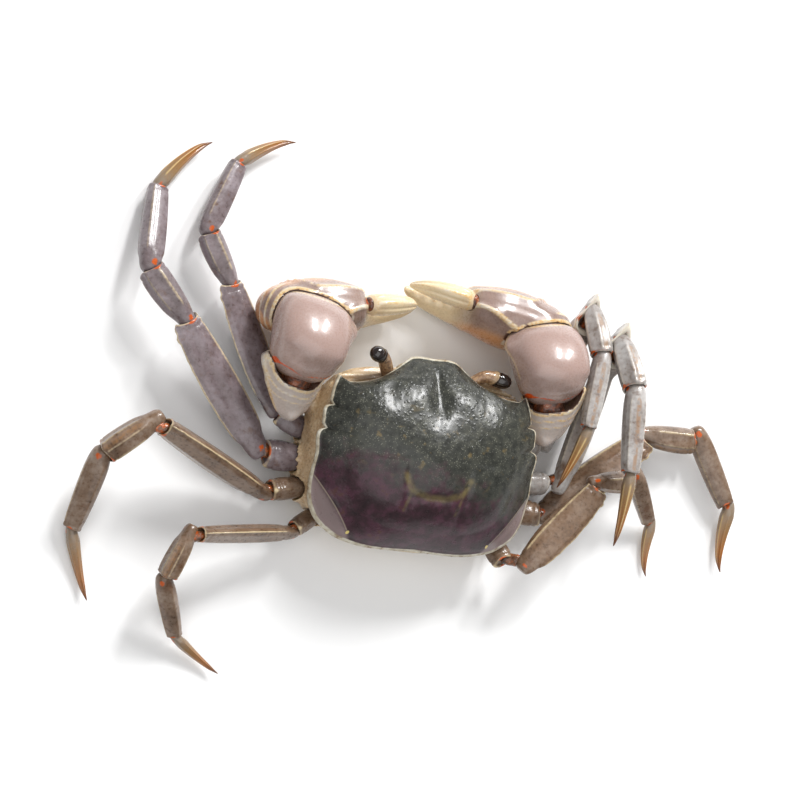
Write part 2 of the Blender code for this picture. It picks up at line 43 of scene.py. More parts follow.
# shader maths: a wire is a socket that can be added, multiplied and so on
class Wire:
    def __init__(self, tree, socket=None):
        self.tree = tree
        self.socket = socket

    def node(self, kind, settings=None, inputs=None, output=0):
        made = self.tree.nodes.new("ShaderNode" + kind)
        for name, value in (settings or {}).items():
            if name == "stops":
                stops = made.color_ramp.elements
                stops[0].position, stops[0].color = value[0]
                stops[-1].position, stops[-1].color = value[-1]
                for place, colour in value[1:-1]:
                    stops.new(place).color = colour
            else:
                setattr(made, name, value)
        for name, value in (inputs or {}).items():
            if isinstance(value, Wire):
                self.tree.links.new(value.socket, made.inputs[name])
            else:
                made.inputs[name].default_value = value
        return Wire(self.tree, made.outputs[output])

    def maths(self, operation, first, second):
        return self.node("Math", {"operation": operation}, {0: first, 1: second})

    def __add__(self, other):
        return self.maths("ADD", self, other)

    def __radd__(self, other):
        return self.maths("ADD", other, self)

    def __sub__(self, other):
        return self.maths("SUBTRACT", self, other)

    def __rsub__(self, other):
        return self.maths("SUBTRACT", other, self)

    def __mul__(self, other):
        return self.maths("MULTIPLY", self, other)

    def __rmul__(self, other):
        return self.maths("MULTIPLY", other, self)

    def size(self):
        return self.maths("ABSOLUTE", self, 0.0)

    # soft step: 0 below low, 1 above high
    def rise(self, low, high):
        settings = {"interpolation_type": "SMOOTHSTEP"}
        if low > high:
            return 1 - self.rise(high, low)
        return self.node("MapRange", settings, {"Value": self, "From Min": low, "From Max": high})

    # soft hump round a value
    def hump(self, middle, width):
        return 1 - (self - middle).size().rise(0.0, width)

    # this colour, painted over by another where share is 1
    def paint(self, colour, share):
        return self.node("Mix", {"data_type": "RGBA"}, {0: share, 6: self, 7: colour}, 2)

    # this value read as a colour between stops
    def ramp(self, *stops):
        return self.node("ValToRGB", {"stops": stops}, {"Fac": self})


def rgb(red, green, blue):
    # 0 to 255 as seen on a screen, to linear light
    seen = [c / 255 for c in (red, green, blue)]
    return tuple(c / 12.92 if c < 0.04 else ((c + 0.055) / 1.055) ** 2.4 for c in seen) + (1.0,)


def startFinish(name, roughness, coat=0.0, coatRoughness=0.1, ior=1.5, skin=0.0):
    material = bpy.data.materials.new(name)
    material.use_nodes = True
    shader = material.node_tree.nodes["Principled BSDF"]
    shader.inputs["Roughness"].default_value = roughness
    shader.inputs["Coat Weight"].default_value = coat
    shader.inputs["Coat Roughness"].default_value = coatRoughness
    shader.inputs["IOR"].default_value = ior
    shader.inputs["Subsurface Weight"].default_value = skin
    shader.inputs["Subsurface Radius"].default_value = (1.0, 0.6, 0.4)
    shader.inputs["Subsurface Scale"].default_value = 0.0012
    wire = Wire(material.node_tree)
    # object coordinates in millimetres
    place = wire.node("TexCoord", output="Object")
    place = wire.node("VectorMath", {"operation": "SCALE"}, {0: place, "Scale": 1000.0})
    return material, shader, wire, place


def cloud(place, scale, detail=3.0, rough=0.55):
    return place.node("TexNoise", {}, {"Vector": place, "Scale": scale, "Detail": detail, "Roughness": rough})


def cells(place, scale):
    return place.node("TexVoronoi", {"feature": "F1"}, {"Vector": place, "Scale": scale})


def endFinish(shader, wire, colour, roughness=None, height=None, depth=0.05, strength=0.5):
    tree = wire.tree
    tree.links.new(colour.socket, shader.inputs["Base Color"])
    if roughness is not None:
        tree.links.new(roughness.socket, shader.inputs["Roughness"])
    if height is not None:
        bump = wire.node("Bump", {}, {"Height": height, "Strength": strength, "Distance": depth * mm})
        tree.links.new(bump.socket, shader.inputs["Normal"])


def axes(place):
    return [place.node("SeparateXYZ", {}, {"Vector": place}, k) for k in range(3)]


def marks(wire, name):
    # three values that a piece keeps at its points
    return axes(wire.node("Attribute", {"attribute_name": name}, {}, "Vector"))


# what every piece goes through
def deselect():
    if bpy.context.mode != "OBJECT":
        bpy.ops.object.mode_set(mode="OBJECT")
    bpy.ops.object.select_all(action="DESELECT")


def pick(piece):
    deselect()
    piece.select_set(True)
    bpy.context.view_layer.objects.active = piece


def finishWith(piece, kind, **settings):
    pick(piece)
    modifier = piece.modifiers.new(kind.lower(), kind)
    for name, value in settings.items():
        setattr(modifier, name, value)
    bpy.ops.object.modifier_apply(modifier=modifier.name)


def points(piece):
    found = np.empty(len(piece.data.vertices) * 3)
    piece.data.vertices.foreach_get("co", found)
    return found.reshape(-1, 3)


def movePoints(piece, places):
    piece.data.vertices.foreach_set("co", places.ravel())
    piece.data.update()


def keepMarks(piece, name, values):
    # three values at each point, which the finish reads; older ones of the name go
    if name in piece.data.attributes:
        piece.data.attributes.remove(piece.data.attributes[name])
    attribute = piece.data.attributes.new(name, "FLOAT_VECTOR", "POINT")
    attribute.data.foreach_set("vector", np.asarray(values, dtype=np.float32).ravel())


def readMarks(piece, name):
    found = np.empty(len(piece.data.vertices) * 3)
    piece.data.attributes[name].data.foreach_get("vector", found)
    return found.reshape(-1, 3)


def settle(piece, finish, slot, *nodes):
    # smooth, outward faces, one finish, and its place in the frame
    pick(piece)
    bpy.ops.object.transform_apply(location=True, rotation=True, scale=True)
    bpy.ops.object.mode_set(mode="EDIT")
    bpy.ops.mesh.select_all(action="SELECT")
    bpy.ops.mesh.normals_make_consistent(inside=False)
    bpy.ops.object.mode_set(mode="OBJECT")
    bpy.ops.object.shade_smooth()
    piece.data.materials.clear()
    piece.data.materials.append(finish)
    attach(piece, "root")
    if nodes:
        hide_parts(*nodes)


def smoothRead(table, value):
    # smooth reading of a table of (place, values) rows, for one number or many
    places = np.array([row[0] for row in table], dtype=float)
    rows = np.array([row[1:] for row in table], dtype=float)
    value = np.clip(np.asarray(value, dtype=float), places[0], places[-1])
    slopes = np.gradient(rows, places, axis=0)
    k = np.clip(np.searchsorted(places, value, side="right") - 1, 0, len(places) - 2)
    span = places[k + 1] - places[k]
    t = ((value - places[k]) / span)[..., None]
    wide = span[..., None]
    return (
        (2 * t**3 - 3 * t**2 + 1) * rows[k]
        + (t**3 - 2 * t**2 + t) * wide * slopes[k]
        + (3 * t**2 - 2 * t**3) * rows[k + 1]
        + (t**3 - t**2) * wide * slopes[k + 1]
    )


def hill(value, middle, width):
    return np.exp(-(((value - middle) / width) ** 2))


def softStep(value, low, high):
    # 0 at low, 1 at high, either way round
    t = np.clip((value - low) / (high - low), 0, 1)
    return t * t * (3 - 2 * t)


def grainAt(places, scale, seed=0.0):
    # even noise at each point, -1 to 1
    shift = Vector((seed, seed * 0.7, -seed))
    return np.array([noise.noise(Vector(p) * scale + shift) for p in places])


# pieces of limb: a ring is pulled along X from station to station, each (place, depth, breadth, lift)
def pullLimb(name, sides, stations, length, depth, breadth):
    deselect()
    bpy.ops.mesh.primitive_circle_add(vertices=sides, radius=0.5 * mm, rotation=(0, math.pi / 2, 0))
    piece = bpy.context.object
    piece.name = piece.data.name = name
    bpy.ops.object.transform_apply(location=False, rotation=True, scale=True)
    bpy.ops.object.mode_set(mode="EDIT")
    bpy.ops.mesh.select_all(action="SELECT")
    at, deep, broad, lift = stations[0]
    bpy.ops.transform.resize(value=(1, breadth * broad, depth * deep), center_override=(0, 0, 0))
    bpy.ops.transform.translate(value=(at * length * mm, 0, lift * depth * mm))
    for before, after in zip(stations, stations[1:]):
        step = ((after[0] - before[0]) * length * mm, 0, (after[3] - before[3]) * depth * mm)
        bpy.ops.mesh.extrude_region_move(TRANSFORM_OT_translate={"value": step})
        middle = (after[0] * length * mm, 0, after[3] * depth * mm)
        wider = (1, after[2] / before[2], after[1] / before[1])
        bpy.ops.transform.resize(value=wider, center_override=middle)
    # both ends are closed, the far one first because it is still selected
    bpy.ops.mesh.edge_face_add()
    bpy.ops.mesh.select_all(action="DESELECT")
    bpy.ops.mesh.select_non_manifold()
    bpy.ops.mesh.edge_face_add()
    bpy.ops.mesh.select_all(action="SELECT")
    bpy.ops.mesh.normals_make_consistent(inside=False)
    bpy.ops.object.mode_set(mode="OBJECT")
    finishWith(piece, "SUBSURF", levels=2, render_levels=2)
    return piece


def limbPlaces(found, stations, length, depth, breadth):
    # share of the length, angle round it, outward direction, and height of the middle, of every point
    share = found[:, 0] / length
    table = [(row[0], row[3]) for row in stations if row[0] >= 0]
    table = [row for k, row in enumerate(table) if k == 0 or row[0] > table[k - 1][0]]
    middle = smoothRead(table, share)[:, 0] * depth
    across = found[:, 1] / breadth
    high = (found[:, 2] - middle) / depth
    reach = np.maximum(np.hypot(across, high), 1e-6)
    return share, np.arctan2(high, across), across / reach, high / reach, middle


def reachOf(found, middle, depth, breadth):
    # how far out of the middle line a point is, as a share of the full section
    return 2 * np.hypot(found[:, 1] / breadth, (found[:, 2] - middle) / depth)


def angleHill(angle, middle, width):
    # soft ridge line round a limb, angles in degrees
    turned = (np.degrees(angle) - middle + 180) % 360 - 180
    return np.exp(-((turned / width) ** 2))


def lay(piece, start, end, crest):
    # from the limb's own frame to its place
    start, end = Vector(start), Vector(end)
    axis = (end - start).normalized()
    across = Vector(crest).cross(axis).normalized()
    up = axis.cross(across)
    turn = Matrix.Translation(start * mm) @ Matrix((axis, across, up)).transposed().to_4x4()
    piece.data.transform(turn)
    return turn


# walking legs, the same sizes and bends as the solids
legShape = {
    "hoods": {"hip": 0.3, "merus": 0.6, "carpus": 0.4, "propodus": 0.35, "dactyl": 0.0},
    "kneeCap": {"legs": ("leg_right_1", "leg_right_2"), "from": 0.86, "turn": 84, "point": 2.6, "wide": 0.5},
    "jointGap": 0.55,
    "slide": 0.42,
    "foldStep": 0.42,
    "pieces": {
        "hip": {"length": 5.4, "depth": 4.6, "breadth": 3.7, "crest": 0.1},
        "merus": {"length": 20.5, "depth": 6.4, "breadth": 3.6, "crest": 0.35},
        "carpus": {"length": 8.4, "depth": 4.4, "breadth": 4.0, "crest": 0.15},
        "propodus": {"length": 12.0, "depth": 3.9, "breadth": 3.6, "crest": 0.1},
        "dactyl": {"length": 10.5, "depth": 2.35, "breadth": 2.1, "crest": 0.0},
    },
    "stations": {
        "hip": [(-0.12, 0.3, 0.3, 0), (-0.1, 0.5, 0.5, 0), (0.0, 0.7, 0.7, 0), (0.15, 0.9, 0.9, 0),
                (0.4, 0.98, 0.98, 0), (0.7, 1.0, 1.0, 0), (0.86, 0.97, 0.97, 0), (0.95, 0.9, 0.92, 0),
                (1.0, 0.8, 0.82, 0), (0.99, 0.66, 0.68, 0), (0.9, 0.58, 0.6, 0), (0.88, 0.25, 0.25, 0)],
        "merus": [(-0.05, 0.26, 0.32, 0), (-0.045, 0.42, 0.5, 0), (-0.02, 0.54, 0.64, 0),
                  (0.01, 0.62, 0.74, 0), (0.06, 0.73, 0.86, 0), (0.15, 0.86, 0.97, 0), (0.3, 1.0, 1.02, 0),
                  (0.5, 1.04, 1.02, 0.01), (0.7, 0.99, 0.99, 0.02), (0.85, 0.88, 0.94, 0.03),
                  (0.94, 0.78, 0.9, 0.03), (0.98, 0.74, 0.87, 0.02), (1.0, 0.7, 0.83, 0.01),
                  (1.004, 0.62, 0.73, 0.0), (0.98, 0.52, 0.6, 0.0), (0.94, 0.44, 0.5, 0.0),
                  (0.935, 0.2, 0.2, 0.0)],
        "carpus": [(-0.12, 0.24, 0.3, -0.03), (-0.11, 0.4, 0.48, -0.03), (-0.05, 0.54, 0.64, -0.02),
                   (0.02, 0.64, 0.74, 0.0), (0.1, 0.76, 0.86, 0.0), (0.28, 0.9, 0.95, 0.02),
                   (0.55, 1.02, 1.02, 0.04), (0.8, 1.03, 1.03, 0.04), (0.93, 0.98, 1.0, 0.03),
                   (0.985, 0.92, 0.95, 0.02), (1.0, 0.83, 0.86, 0.0), (0.98, 0.7, 0.72, 0.0),
                   (0.92, 0.58, 0.6, 0.0), (0.91, 0.2, 0.2, 0.0)],
        "propodus": [(-0.08, 0.3, 0.34, 0), (-0.07, 0.5, 0.56, 0), (-0.03, 0.72, 0.76, 0),
                     (0.01, 0.86, 0.88, 0), (0.06, 0.95, 0.96, 0), (0.16, 1.01, 1.02, 0),
                     (0.4, 1.0, 1.02, 0), (0.7, 0.93, 0.95, 0), (0.9, 0.83, 0.87, 0), (0.97, 0.78, 0.82, 0),
                     (0.995, 0.7, 0.75, 0), (0.985, 0.58, 0.62, 0), (0.95, 0.46, 0.5, 0),
                     (0.945, 0.2, 0.2, 0)],
        "dactyl": [(-0.07, 0.3, 0.3, 0), (-0.06, 0.5, 0.5, 0), (-0.02, 0.74, 0.74, 0), (0.02, 0.92, 0.9, 0),
                   (0.08, 1.0, 0.96, 0.01), (0.2, 0.94, 0.88, 0.06), (0.4, 0.78, 0.72, 0.12),
                   (0.6, 0.58, 0.54, 0.1), (0.78, 0.41, 0.38, 0.02), (0.9, 0.26, 0.25, -0.12),
                   (0.97, 0.14, 0.14, -0.26), (1.0, 0.06, 0.06, -0.32)],
    },
}
legs = {
    "leg_left_1": {"look": "mauve", "root": (17.0, -2.6, 3.4), "size": 0.95, "crest": (1.0, 0.3, 0.5),
                   "turns": [(26, 2), (65, 1), (60, 3), (112, -6), (150, -5)]},
    "leg_left_2": {"look": "mauve", "root": (17.8, 1.8, 3.6), "size": 1.06, "crest": (1.0, 0.3, 0.4),
                   "turns": [(2, 6), (53, 6), (50, -2), (96, -16), (132, -2)]},
    "leg_left_3": {"look": "brown", "root": (17.3, 6.2, 3.8), "size": 1.0, "crest": (0.0, 0.0, 1.0),
                   "turns": [(-12, 10), (22, 20), (-40, -12), (-80, -31), (-108, -6)]},
    "leg_left_4": {"look": "brown", "root": (14.8, 10.2, 4.2), "size": 0.82, "crest": (0.0, 0.0, 1.0),
                   "turns": [(-38, 12), (-8, 20), (-70, -14), (-118, -34), (-146, -8)]},
    "leg_right_1": {"look": "grey", "root": (17.0, -2.6, 3.4), "size": 0.95, "crest": (0.1, 0.0, -1.0),
                    "turns": [(24, 2), (77, 2), (-84, 20), (-100, 3), (-112, -10)]},
    "leg_right_2": {"look": "grey", "root": (17.8, 1.8, 3.6), "size": 1.06, "crest": (0.1, 0.0, -1.0),
                    "turns": [(4, 2), (73, 3), (-82, 24), (-92, 3), (-96, -9)]},
    "leg_right_3": {"look": "brown", "root": (17.3, 6.0, 3.3), "size": 1.0, "crest": (0.8, 0.3, 0.6),
                    "turns": [(-4, 0), (40, 2), (0, 2), (-60, -4), (-96, -7)]},
    "leg_right_4": {"look": "brown", "root": (14.6, 11.4, 4.4), "size": 0.82, "crest": (0.7, 0.7, 0.4),
                    "turns": [(-66, 34), (51, 5), (10, -14), (-50, -34), (-92, -10)]},
}


def limbDirection(side, forwards, rising):
    turn, lift = math.radians(forwards), math.radians(rising)
    return Vector((side * math.cos(lift) * math.cos(turn), -math.cos(lift) * math.sin(turn), math.sin(lift)))


def legPlaces(name):
    # start, end and crest of each piece, from the body outwards, bent about one hinge line
    leg = legs[name]
    side = 1 if "left" in name else -1
    joint = Vector((side * leg["root"][0], leg["root"][1], leg["root"][2]))
    crest = Vector((side * leg["crest"][0], leg["crest"][1], leg["crest"][2]))
    hinge = crest.cross(limbDirection(side, *leg["turns"][1])).normalized()
    places = {}
    before = None
    for (kind, shape), turn in zip(legShape["pieces"].items(), leg["turns"]):
        direction = limbDirection(side, *turn)
        depth = shape["depth"] * leg["size"]
        if before:
            fold = (1 - before["direction"].dot(direction)) / 2
            joint += before["direction"] * (math.sqrt(fold) * legShape["slide"] * depth)
            joint -= before["crest"] * (fold * legShape["foldStep"] * (depth + before["depth"]))
        end = joint + direction * shape["length"] * leg["size"]
        before = {"direction": direction, "crest": direction.cross(hinge).normalized(), "depth": depth}
        places[kind] = (joint.copy(), end, before["crest"])
        joint = end + direction * legShape["jointGap"]
    return places


def jointSpots(share, angle, place, wide):
    # the orange pegs at both sides of a joint
    return (angleHill(angle, 4, 17) + angleHill(angle, 176, 17)) * hill(share, place, wide)


def jointMarks(share, angle, neck, mouth, wide):
    # orange pegs at both ends and an orange line round the far one, but none on the neck
    neckSpots = 1.15 * jointSpots(share, angle, neck + wide * 0.5, wide)
    mouthSpots = jointSpots(share, angle, mouth, wide * 0.8)
    line = 0.42 * hill(share, mouth + 0.004, wide * 0.3)
    return neckSpots + mouthSpots + line - (1 - softStep(share, neck - 0.012, neck))


def shapeHip(share, angle):
    relief = 0.16 * angleHill(angle, 90, 18) * softStep(share, 0.1, 0.5)
    relief += 0.1 * angleHill(angle, 30, 16) + 0.1 * angleHill(angle, 150, 16)
    relief -= 0.12 * hill(share, 0.82, 0.05)
    rim = 0.7 * hill(share, 0.97, 0.04) + 0.5 * angleHill(angle, 90, 12)
    red = jointMarks(share, angle, -0.04, 0.98, 0.04)
    return relief, rim, red, 0 * share


def shapeMerus(share, angle):
    body = softStep(share, 0.04, 0.16) * (1 - softStep(share, 0.975, 1.0))
    crestLine = angleHill(angle, 90, 8)
    frontEdge = angleHill(angle, -36, 8)
    rearEdge = angleHill(angle, -144, 8)
    relief = 0.34 * crestLine * body + 0.26 * (frontEdge + rearEdge) * body
    # flat faces between the three edges
    relief -= 0.24 * (angleHill(angle, 28, 26) + angleHill(angle, 152, 26)) * body
    relief -= 0.16 * angleHill(angle, -90, 34) * body
    # fine saw edge along the crest, and short ripples across the faces beside it
    relief += 0.05 * crestLine * body * np.sin(share * 230) * softStep(share, 0.1, 0.3)
    side = angleHill(angle, 50, 20) + angleHill(angle, 130, 20)
    wander = share * 150 + 1.8 * np.sin(angle * 5 + share * 20) + 1.4 * np.sin(angle * 2)
    relief += 0.12 * side * body * np.maximum(0.0, np.sin(wander)) ** 2
    # the notch before the knee
    relief += 0.3 * angleHill(angle, 90, 16) * hill(share, 0.925, 0.018)
    relief -= 0.12 * hill(share, 0.955, 0.01)
    relief -= 0.1 * hill(share, 0.06, 0.02)
    rim = 1.1 * crestLine * body + 0.9 * (frontEdge + rearEdge) * body + 0.8 * hill(share, 0.998, 0.009)
    red = jointMarks(share, angle, -0.012, 0.99, 0.016)
    return relief, rim, red, 0.5 * body


def shapeCarpus(share, angle):
    body = softStep(share, 0.05, 0.3) * (1 - softStep(share, 0.95, 1.0))
    ribs = angleHill(angle, 64, 8) + angleHill(angle, 116, 8)
    edges = angleHill(angle, 6, 9) + angleHill(angle, 174, 9)
    relief = 0.2 * ribs * body + 0.18 * edges * body
    relief -= 0.14 * angleHill(angle, 90, 13) * body
    relief -= 0.12 * (angleHill(angle, 35, 12) + angleHill(angle, 145, 12)) * body
    relief += 0.06 * hill(share, 0.97, 0.02) - 0.08 * hill(share, 0.92, 0.015)
    rim = (0.7 * ribs + 0.8 * edges) * body + 0.7 * hill(share, 0.995, 0.016) + 0.4 * hill(share, 0.04, 0.02)
    red = jointMarks(share, angle, -0.03, 0.98, 0.036)
    return relief, rim, red, body * angleHill(angle, 90, 20)


def shapePropodus(share, angle):
    body = softStep(share, 0.02, 0.12) * (1 - softStep(share, 0.95, 1.0))
    ribs = angleHill(angle, 48, 8) + angleHill(angle, 132, 8)
    under = angleHill(angle, -45, 10) + angleHill(angle, -135, 10)
    relief = 0.18 * ribs * body + 0.14 * under * body
    relief -= 0.14 * (angleHill(angle, 0, 20) + angleHill(angle, 180, 20)) * body
    relief -= 0.08 * angleHill(angle, 90, 18) * body
    relief += 0.05 * hill(share, 0.975, 0.015) - 0.06 * hill(share, 0.94, 0.012)
    rim = 0.7 * ribs * body + 0.5 * under * body + 0.5 * hill(share, 0.995, 0.012)
    red = jointMarks(share, angle, -0.02, 0.98, 0.026)
    return relief, rim, red, body * angleHill(angle, 90, 18)


def shapeDactyl(share, angle):
    body = softStep(share, 0.05, 0.15) * (1 - softStep(share, 0.8, 0.95))
    ribs = sum(angleHill(angle, turn, 11) for turn in (90, 30, 150, -90, -30, -150))
    relief = 0.12 * ribs * body - 0.04 * body
    rim = 0.5 * (angleHill(angle, 90, 14) + angleHill(angle, 30, 10) + angleHill(angle, 150, 10)) * body
    red = jointMarks(share, angle, -0.015, 2.0, 0.03)
    return relief, rim, red, softStep(share, 0.12, 0.6)


legShapers = {
    "hip": shapeHip,
    "merus": shapeMerus,
    "carpus": shapeCarpus,
    "propodus": shapePropodus,
    "dactyl": shapeDactyl,
}


def shapeLimb(piece, shaper, stations, length, depth, breadth, crest, size, hood=0.0, back=0.0, turned=False):
    # carves the even tube, and keeps what the finish reads: along, up and across, then rim, red and middle
    found = points(piece) / mm
    share, angle, across, high, middle = limbPlaces(found, stations, length, depth, breadth)
    relief, rim, red, centre = shaper(share, np.pi - angle if turned else angle)
    # no orange inside the open far end
    inside = softStep(reachOf(found, middle, depth, breadth), 0.66, 0.6) * softStep(share, 0.86, 0.9)
    red = red - 2.0 * inside * (hood > 0)
    # the far end reaches over the joint, furthest in its middle, and the near end back into the joint
    found[:, 0] += hood * size * softStep(share, 0.9, 1.0) * (1 - np.abs(across) ** 1.6)
    found[:, 0] -= back * (1 - softStep(share, -0.04, 0.06))
    found[:, 1] += across * relief * size
    found[:, 2] += high * relief * size
    # the section is drawn in towards its crest, at the top
    found[:, 1] *= 1 - crest * np.maximum(0.0, high)
    keepMarks(piece, "skin", np.stack([share, high, across], axis=1))
    keepMarks(piece, "marks", np.clip(np.stack([rim, red, centre], axis=1), 0, 1.5))
    movePoints(piece, found * mm)


def shapeKneeCap(piece, length, depth, size):
    # where a leg folds back on itself, the end of its upper part bends up round the joint to a pointed cap
    cap = legShape["kneeCap"]
    found = points(piece) / mm
    share = found[:, 0] / length
    bendAt = cap["from"] * length
    pivot = -0.42 * depth
    turn = math.radians(cap["turn"]) * softStep(share, cap["from"], 1.0)
    ahead, above = np.maximum(found[:, 0] - bendAt, 0), found[:, 2] - pivot
    # the wall on the outside of the bend is the taller one, so that the cap stands open towards the leg
    ahead *= 0.1 + 1.1 * np.clip(above / (0.9 * depth), 0, 1)
    side = np.clip(np.abs(found[:, 1]) / (1.9 * size), 0, 1)
    bent = share > cap["from"]
    x = bendAt + ahead * np.cos(turn) + above * np.sin(turn)
    z = pivot + above * np.cos(turn) - ahead * np.sin(turn)
    point = cap["point"] * size * hill(side, 0, 0.55) * softStep(above / depth, 0.4, 1.0) * np.sin(turn)
    found[:, 0] = np.where(bent, x + point, found[:, 0])
    found[:, 2] = np.where(bent, z, found[:, 2])
    found[:, 1] *= 1 + cap["wide"] * softStep(share, cap["from"] - 0.03, 0.95)
    movePoints(piece, found * mm)
    kept = readMarks(piece, "marks")
    kept[:, 0] = np.maximum(kept[:, 0], 1.2 * softStep(share, 0.955, 0.98))
    keepMarks(piece, "marks", kept)


def makeLeg(name, finish, skinFinish):
    size = legs[name]["size"]
    places = legPlaces(name)
    before = None
    for kind, (start, end, crest) in places.items():
        shape = legShape["pieces"][kind]
        length, depth, breadth = (shape[key] * size for key in ("length", "depth", "breadth"))
        stations = legShape["stations"][kind]
        piece = pullLimb(f"{name}.{kind}", 16, stations, length, depth, breadth)
        folded = kind == "merus" and name in legShape["kneeCap"]["legs"]
        hood = legShape["hoods"][kind]
        straight = before and (end - start).dot(before[1] - before[0]) > 0
        back = min((start - before[1]).length - legShape["jointGap"] * 0.5, 0.9) if straight else 0.2
        shapeLimb(piece, legShapers[kind], stations, length, depth, breadth, shape["crest"], size, hood, back)
        if folded:
            shapeKneeCap(piece, length, depth, size)
        lay(piece, start, end, crest)
        before = (start, end)
        settle(piece, finish["tip" if kind == "dactyl" else "shell"], "leg", f"{name}_{kind}")
    makeLegSkins(name, places, size, skinFinish)


def joinSkins(made, name, lump, grain, finish, slot):
    # the skins of one limb become one piece, a little uneven
    pick(made[0])
    for piece in made:
        piece.select_set(True)
    bpy.ops.object.join()
    joined = bpy.context.object
    joined.name = joined.data.name = name
    found = points(joined)
    movePoints(joined, found + lump * grainAt(found, grain)[:, None])
    settle(joined, finish, slot)


legSkin = {
    "thick": {"hip": 0.4, "merus": 0.44, "carpus": 0.56, "propodus": 0.5},
    "stations": [(0.0, 0.5, 0.5, 0), (0.04, 0.85, 0.85, 0), (0.25, 1.0, 1.0, 0), (0.42, 0.92, 0.92, 0),
                 (0.56, 1.0, 1.0, 0), (0.7, 0.9, 0.9, 0), (0.85, 0.96, 0.96, 0), (0.97, 0.8, 0.8, 0),
                 (1.0, 0.5, 0.5, 0)],
}


def makeLegSkins(name, places, size, finish):
    # the soft skin that shows between two pieces of a leg
    kinds = list(places)
    made = []
    for inner, outer in zip(kinds, kinds[1:]):
        start = places[inner][1] - (places[inner][1] - places[inner][0]).normalized() * size
        end = places[outer][0] + (places[outer][1] - places[outer][0]).normalized() * 0.9 * size
        shape = legShape["pieces"][outer]
        thick = legSkin["thick"][inner]
        depth, breadth = shape["depth"] * size * thick, shape["breadth"] * size * thick * 1.12
        length = (end - start).length
        piece = pullLimb(f"{name}.skin.{outer}", 14, legSkin["stations"], length, depth, breadth)
        lay(piece, start, end, places[outer][2])
        made.append(piece)
    joinSkins(made, f"{name}.joint_skins", 0.00006, 1400, finish, "leg")


# dark, middle and light of the shell, the stripe along it, and its ridges
legColours = {
    "mauve": ((84, 70, 70), (112, 100, 102), (140, 130, 134), (104, 86, 92), (204, 186, 148)),
    "grey": ((116, 106, 98), (154, 148, 144), (186, 184, 182), (142, 108, 76), (214, 206, 190)),
    "brown": ((74, 54, 38), (112, 90, 72), (142, 126, 112), (128, 92, 56), (204, 186, 148)),
}


def paintPegs(colour, place, red):
    # the orange at a joint, broken up
    return colour.paint(rgb(178, 78, 18), (red * (cloud(place, 1.1, 5, 0.7) * 3.0 - 0.7)).rise(0.3, 0.6))


def legFinish(look):
    material, shader, wire, place = startFinish(look + " leg shell", 0.3, 0.35, 0.1, 1.42, 0.06)
    dark, middle, light, stripe, edge = (rgb(*colour) for colour in legColours[look])
    rim, red, centre = marks(wire, "marks")
    soft = cloud(place, 0.3, 4)
    fine = cloud(place, 1.5, 4)
    base = (soft * 0.6 + fine * 0.4).ramp((0.32, dark), (0.5, middle), (0.7, light))
    striped = base.paint(stripe, centre.rise(0.3, 0.9) * fine.rise(0.35, 0.6) * 0.75)
    brown = striped.paint(rgb(88, 56, 32), cloud(place, 0.5, 4).rise(0.56, 0.72) * 0.6)
    specks = cells(place, 2.4).rise(0.22, 0.1) * fine.rise(0.48, 0.6)
    specked = brown.paint(rgb(64, 44, 34), specks * 0.3)
    ridged = specked.paint(edge, (rim * (0.5 + fine * 0.8)).rise(0.35, 0.95) * 0.85)
    height = fine * 0.6 + cloud(place, 5.0, 2) * 0.4 - specks * 0.3
    endFinish(shader, wire, paintPegs(ridged, place, red), 0.18 + fine * 0.24, height, 0.12, 0.45)
    return material


def tipFinish():
    material, shader, wire, place = startFinish("leg tip", 0.28, 0.4, 0.12, 1.45, 0.1)
    along = marks(wire, "skin")[0]
    rim, red = marks(wire, "marks")[:2]
    fine = cloud(place, 2.0, 3)
    base = (along + (fine - 0.5) * 0.35).ramp(
        (0.0, rgb(128, 114, 98)), (0.3, rgb(132, 100, 62)), (0.7, rgb(140, 86, 30)), (1.0, rgb(80, 42, 18)))
    ridged = base.paint(rgb(206, 178, 118), rim.rise(0.1, 0.6) * 0.6)
    endFinish(shader, wire, paintPegs(ridged, place, red), 0.2 + fine * 0.2, fine, 0.1, 0.4)
    return material


def jointSkinFinish():
    material, shader, wire, place = startFinish("joint skin", 0.22, 0.5, 0.1, 1.45, 0.25)
    colour = cloud(place, 0.9, 3).ramp(
        (0.3, rgb(52, 30, 18)), (0.48, rgb(112, 74, 48)), (0.6, rgb(176, 84, 28)), (0.74, rgb(188, 158, 126)))
    endFinish(shader, wire, colour, None, cloud(place, 3.4, 2), 0.2, 0.6)
    return material


def shadedClawSkinFinish():
    # the skin deep in the claw joints: joint skin colours, darkened as painted shade
    material, shader, wire, place = startFinish("claw joint skin with painted shade", 0.25, 0.4, 0.1, 1.45, 0.1)
    colour = cloud(place, 0.7, 4).ramp(
        (0.3, rgb(44, 24, 18)), (0.5, rgb(84, 50, 36)), (0.66, rgb(150, 78, 38)), (0.76, rgb(196, 176, 152)))
    endFinish(shader, wire, colour, None, cloud(place, 2.6, 2), 0.25, 0.6)
    return material


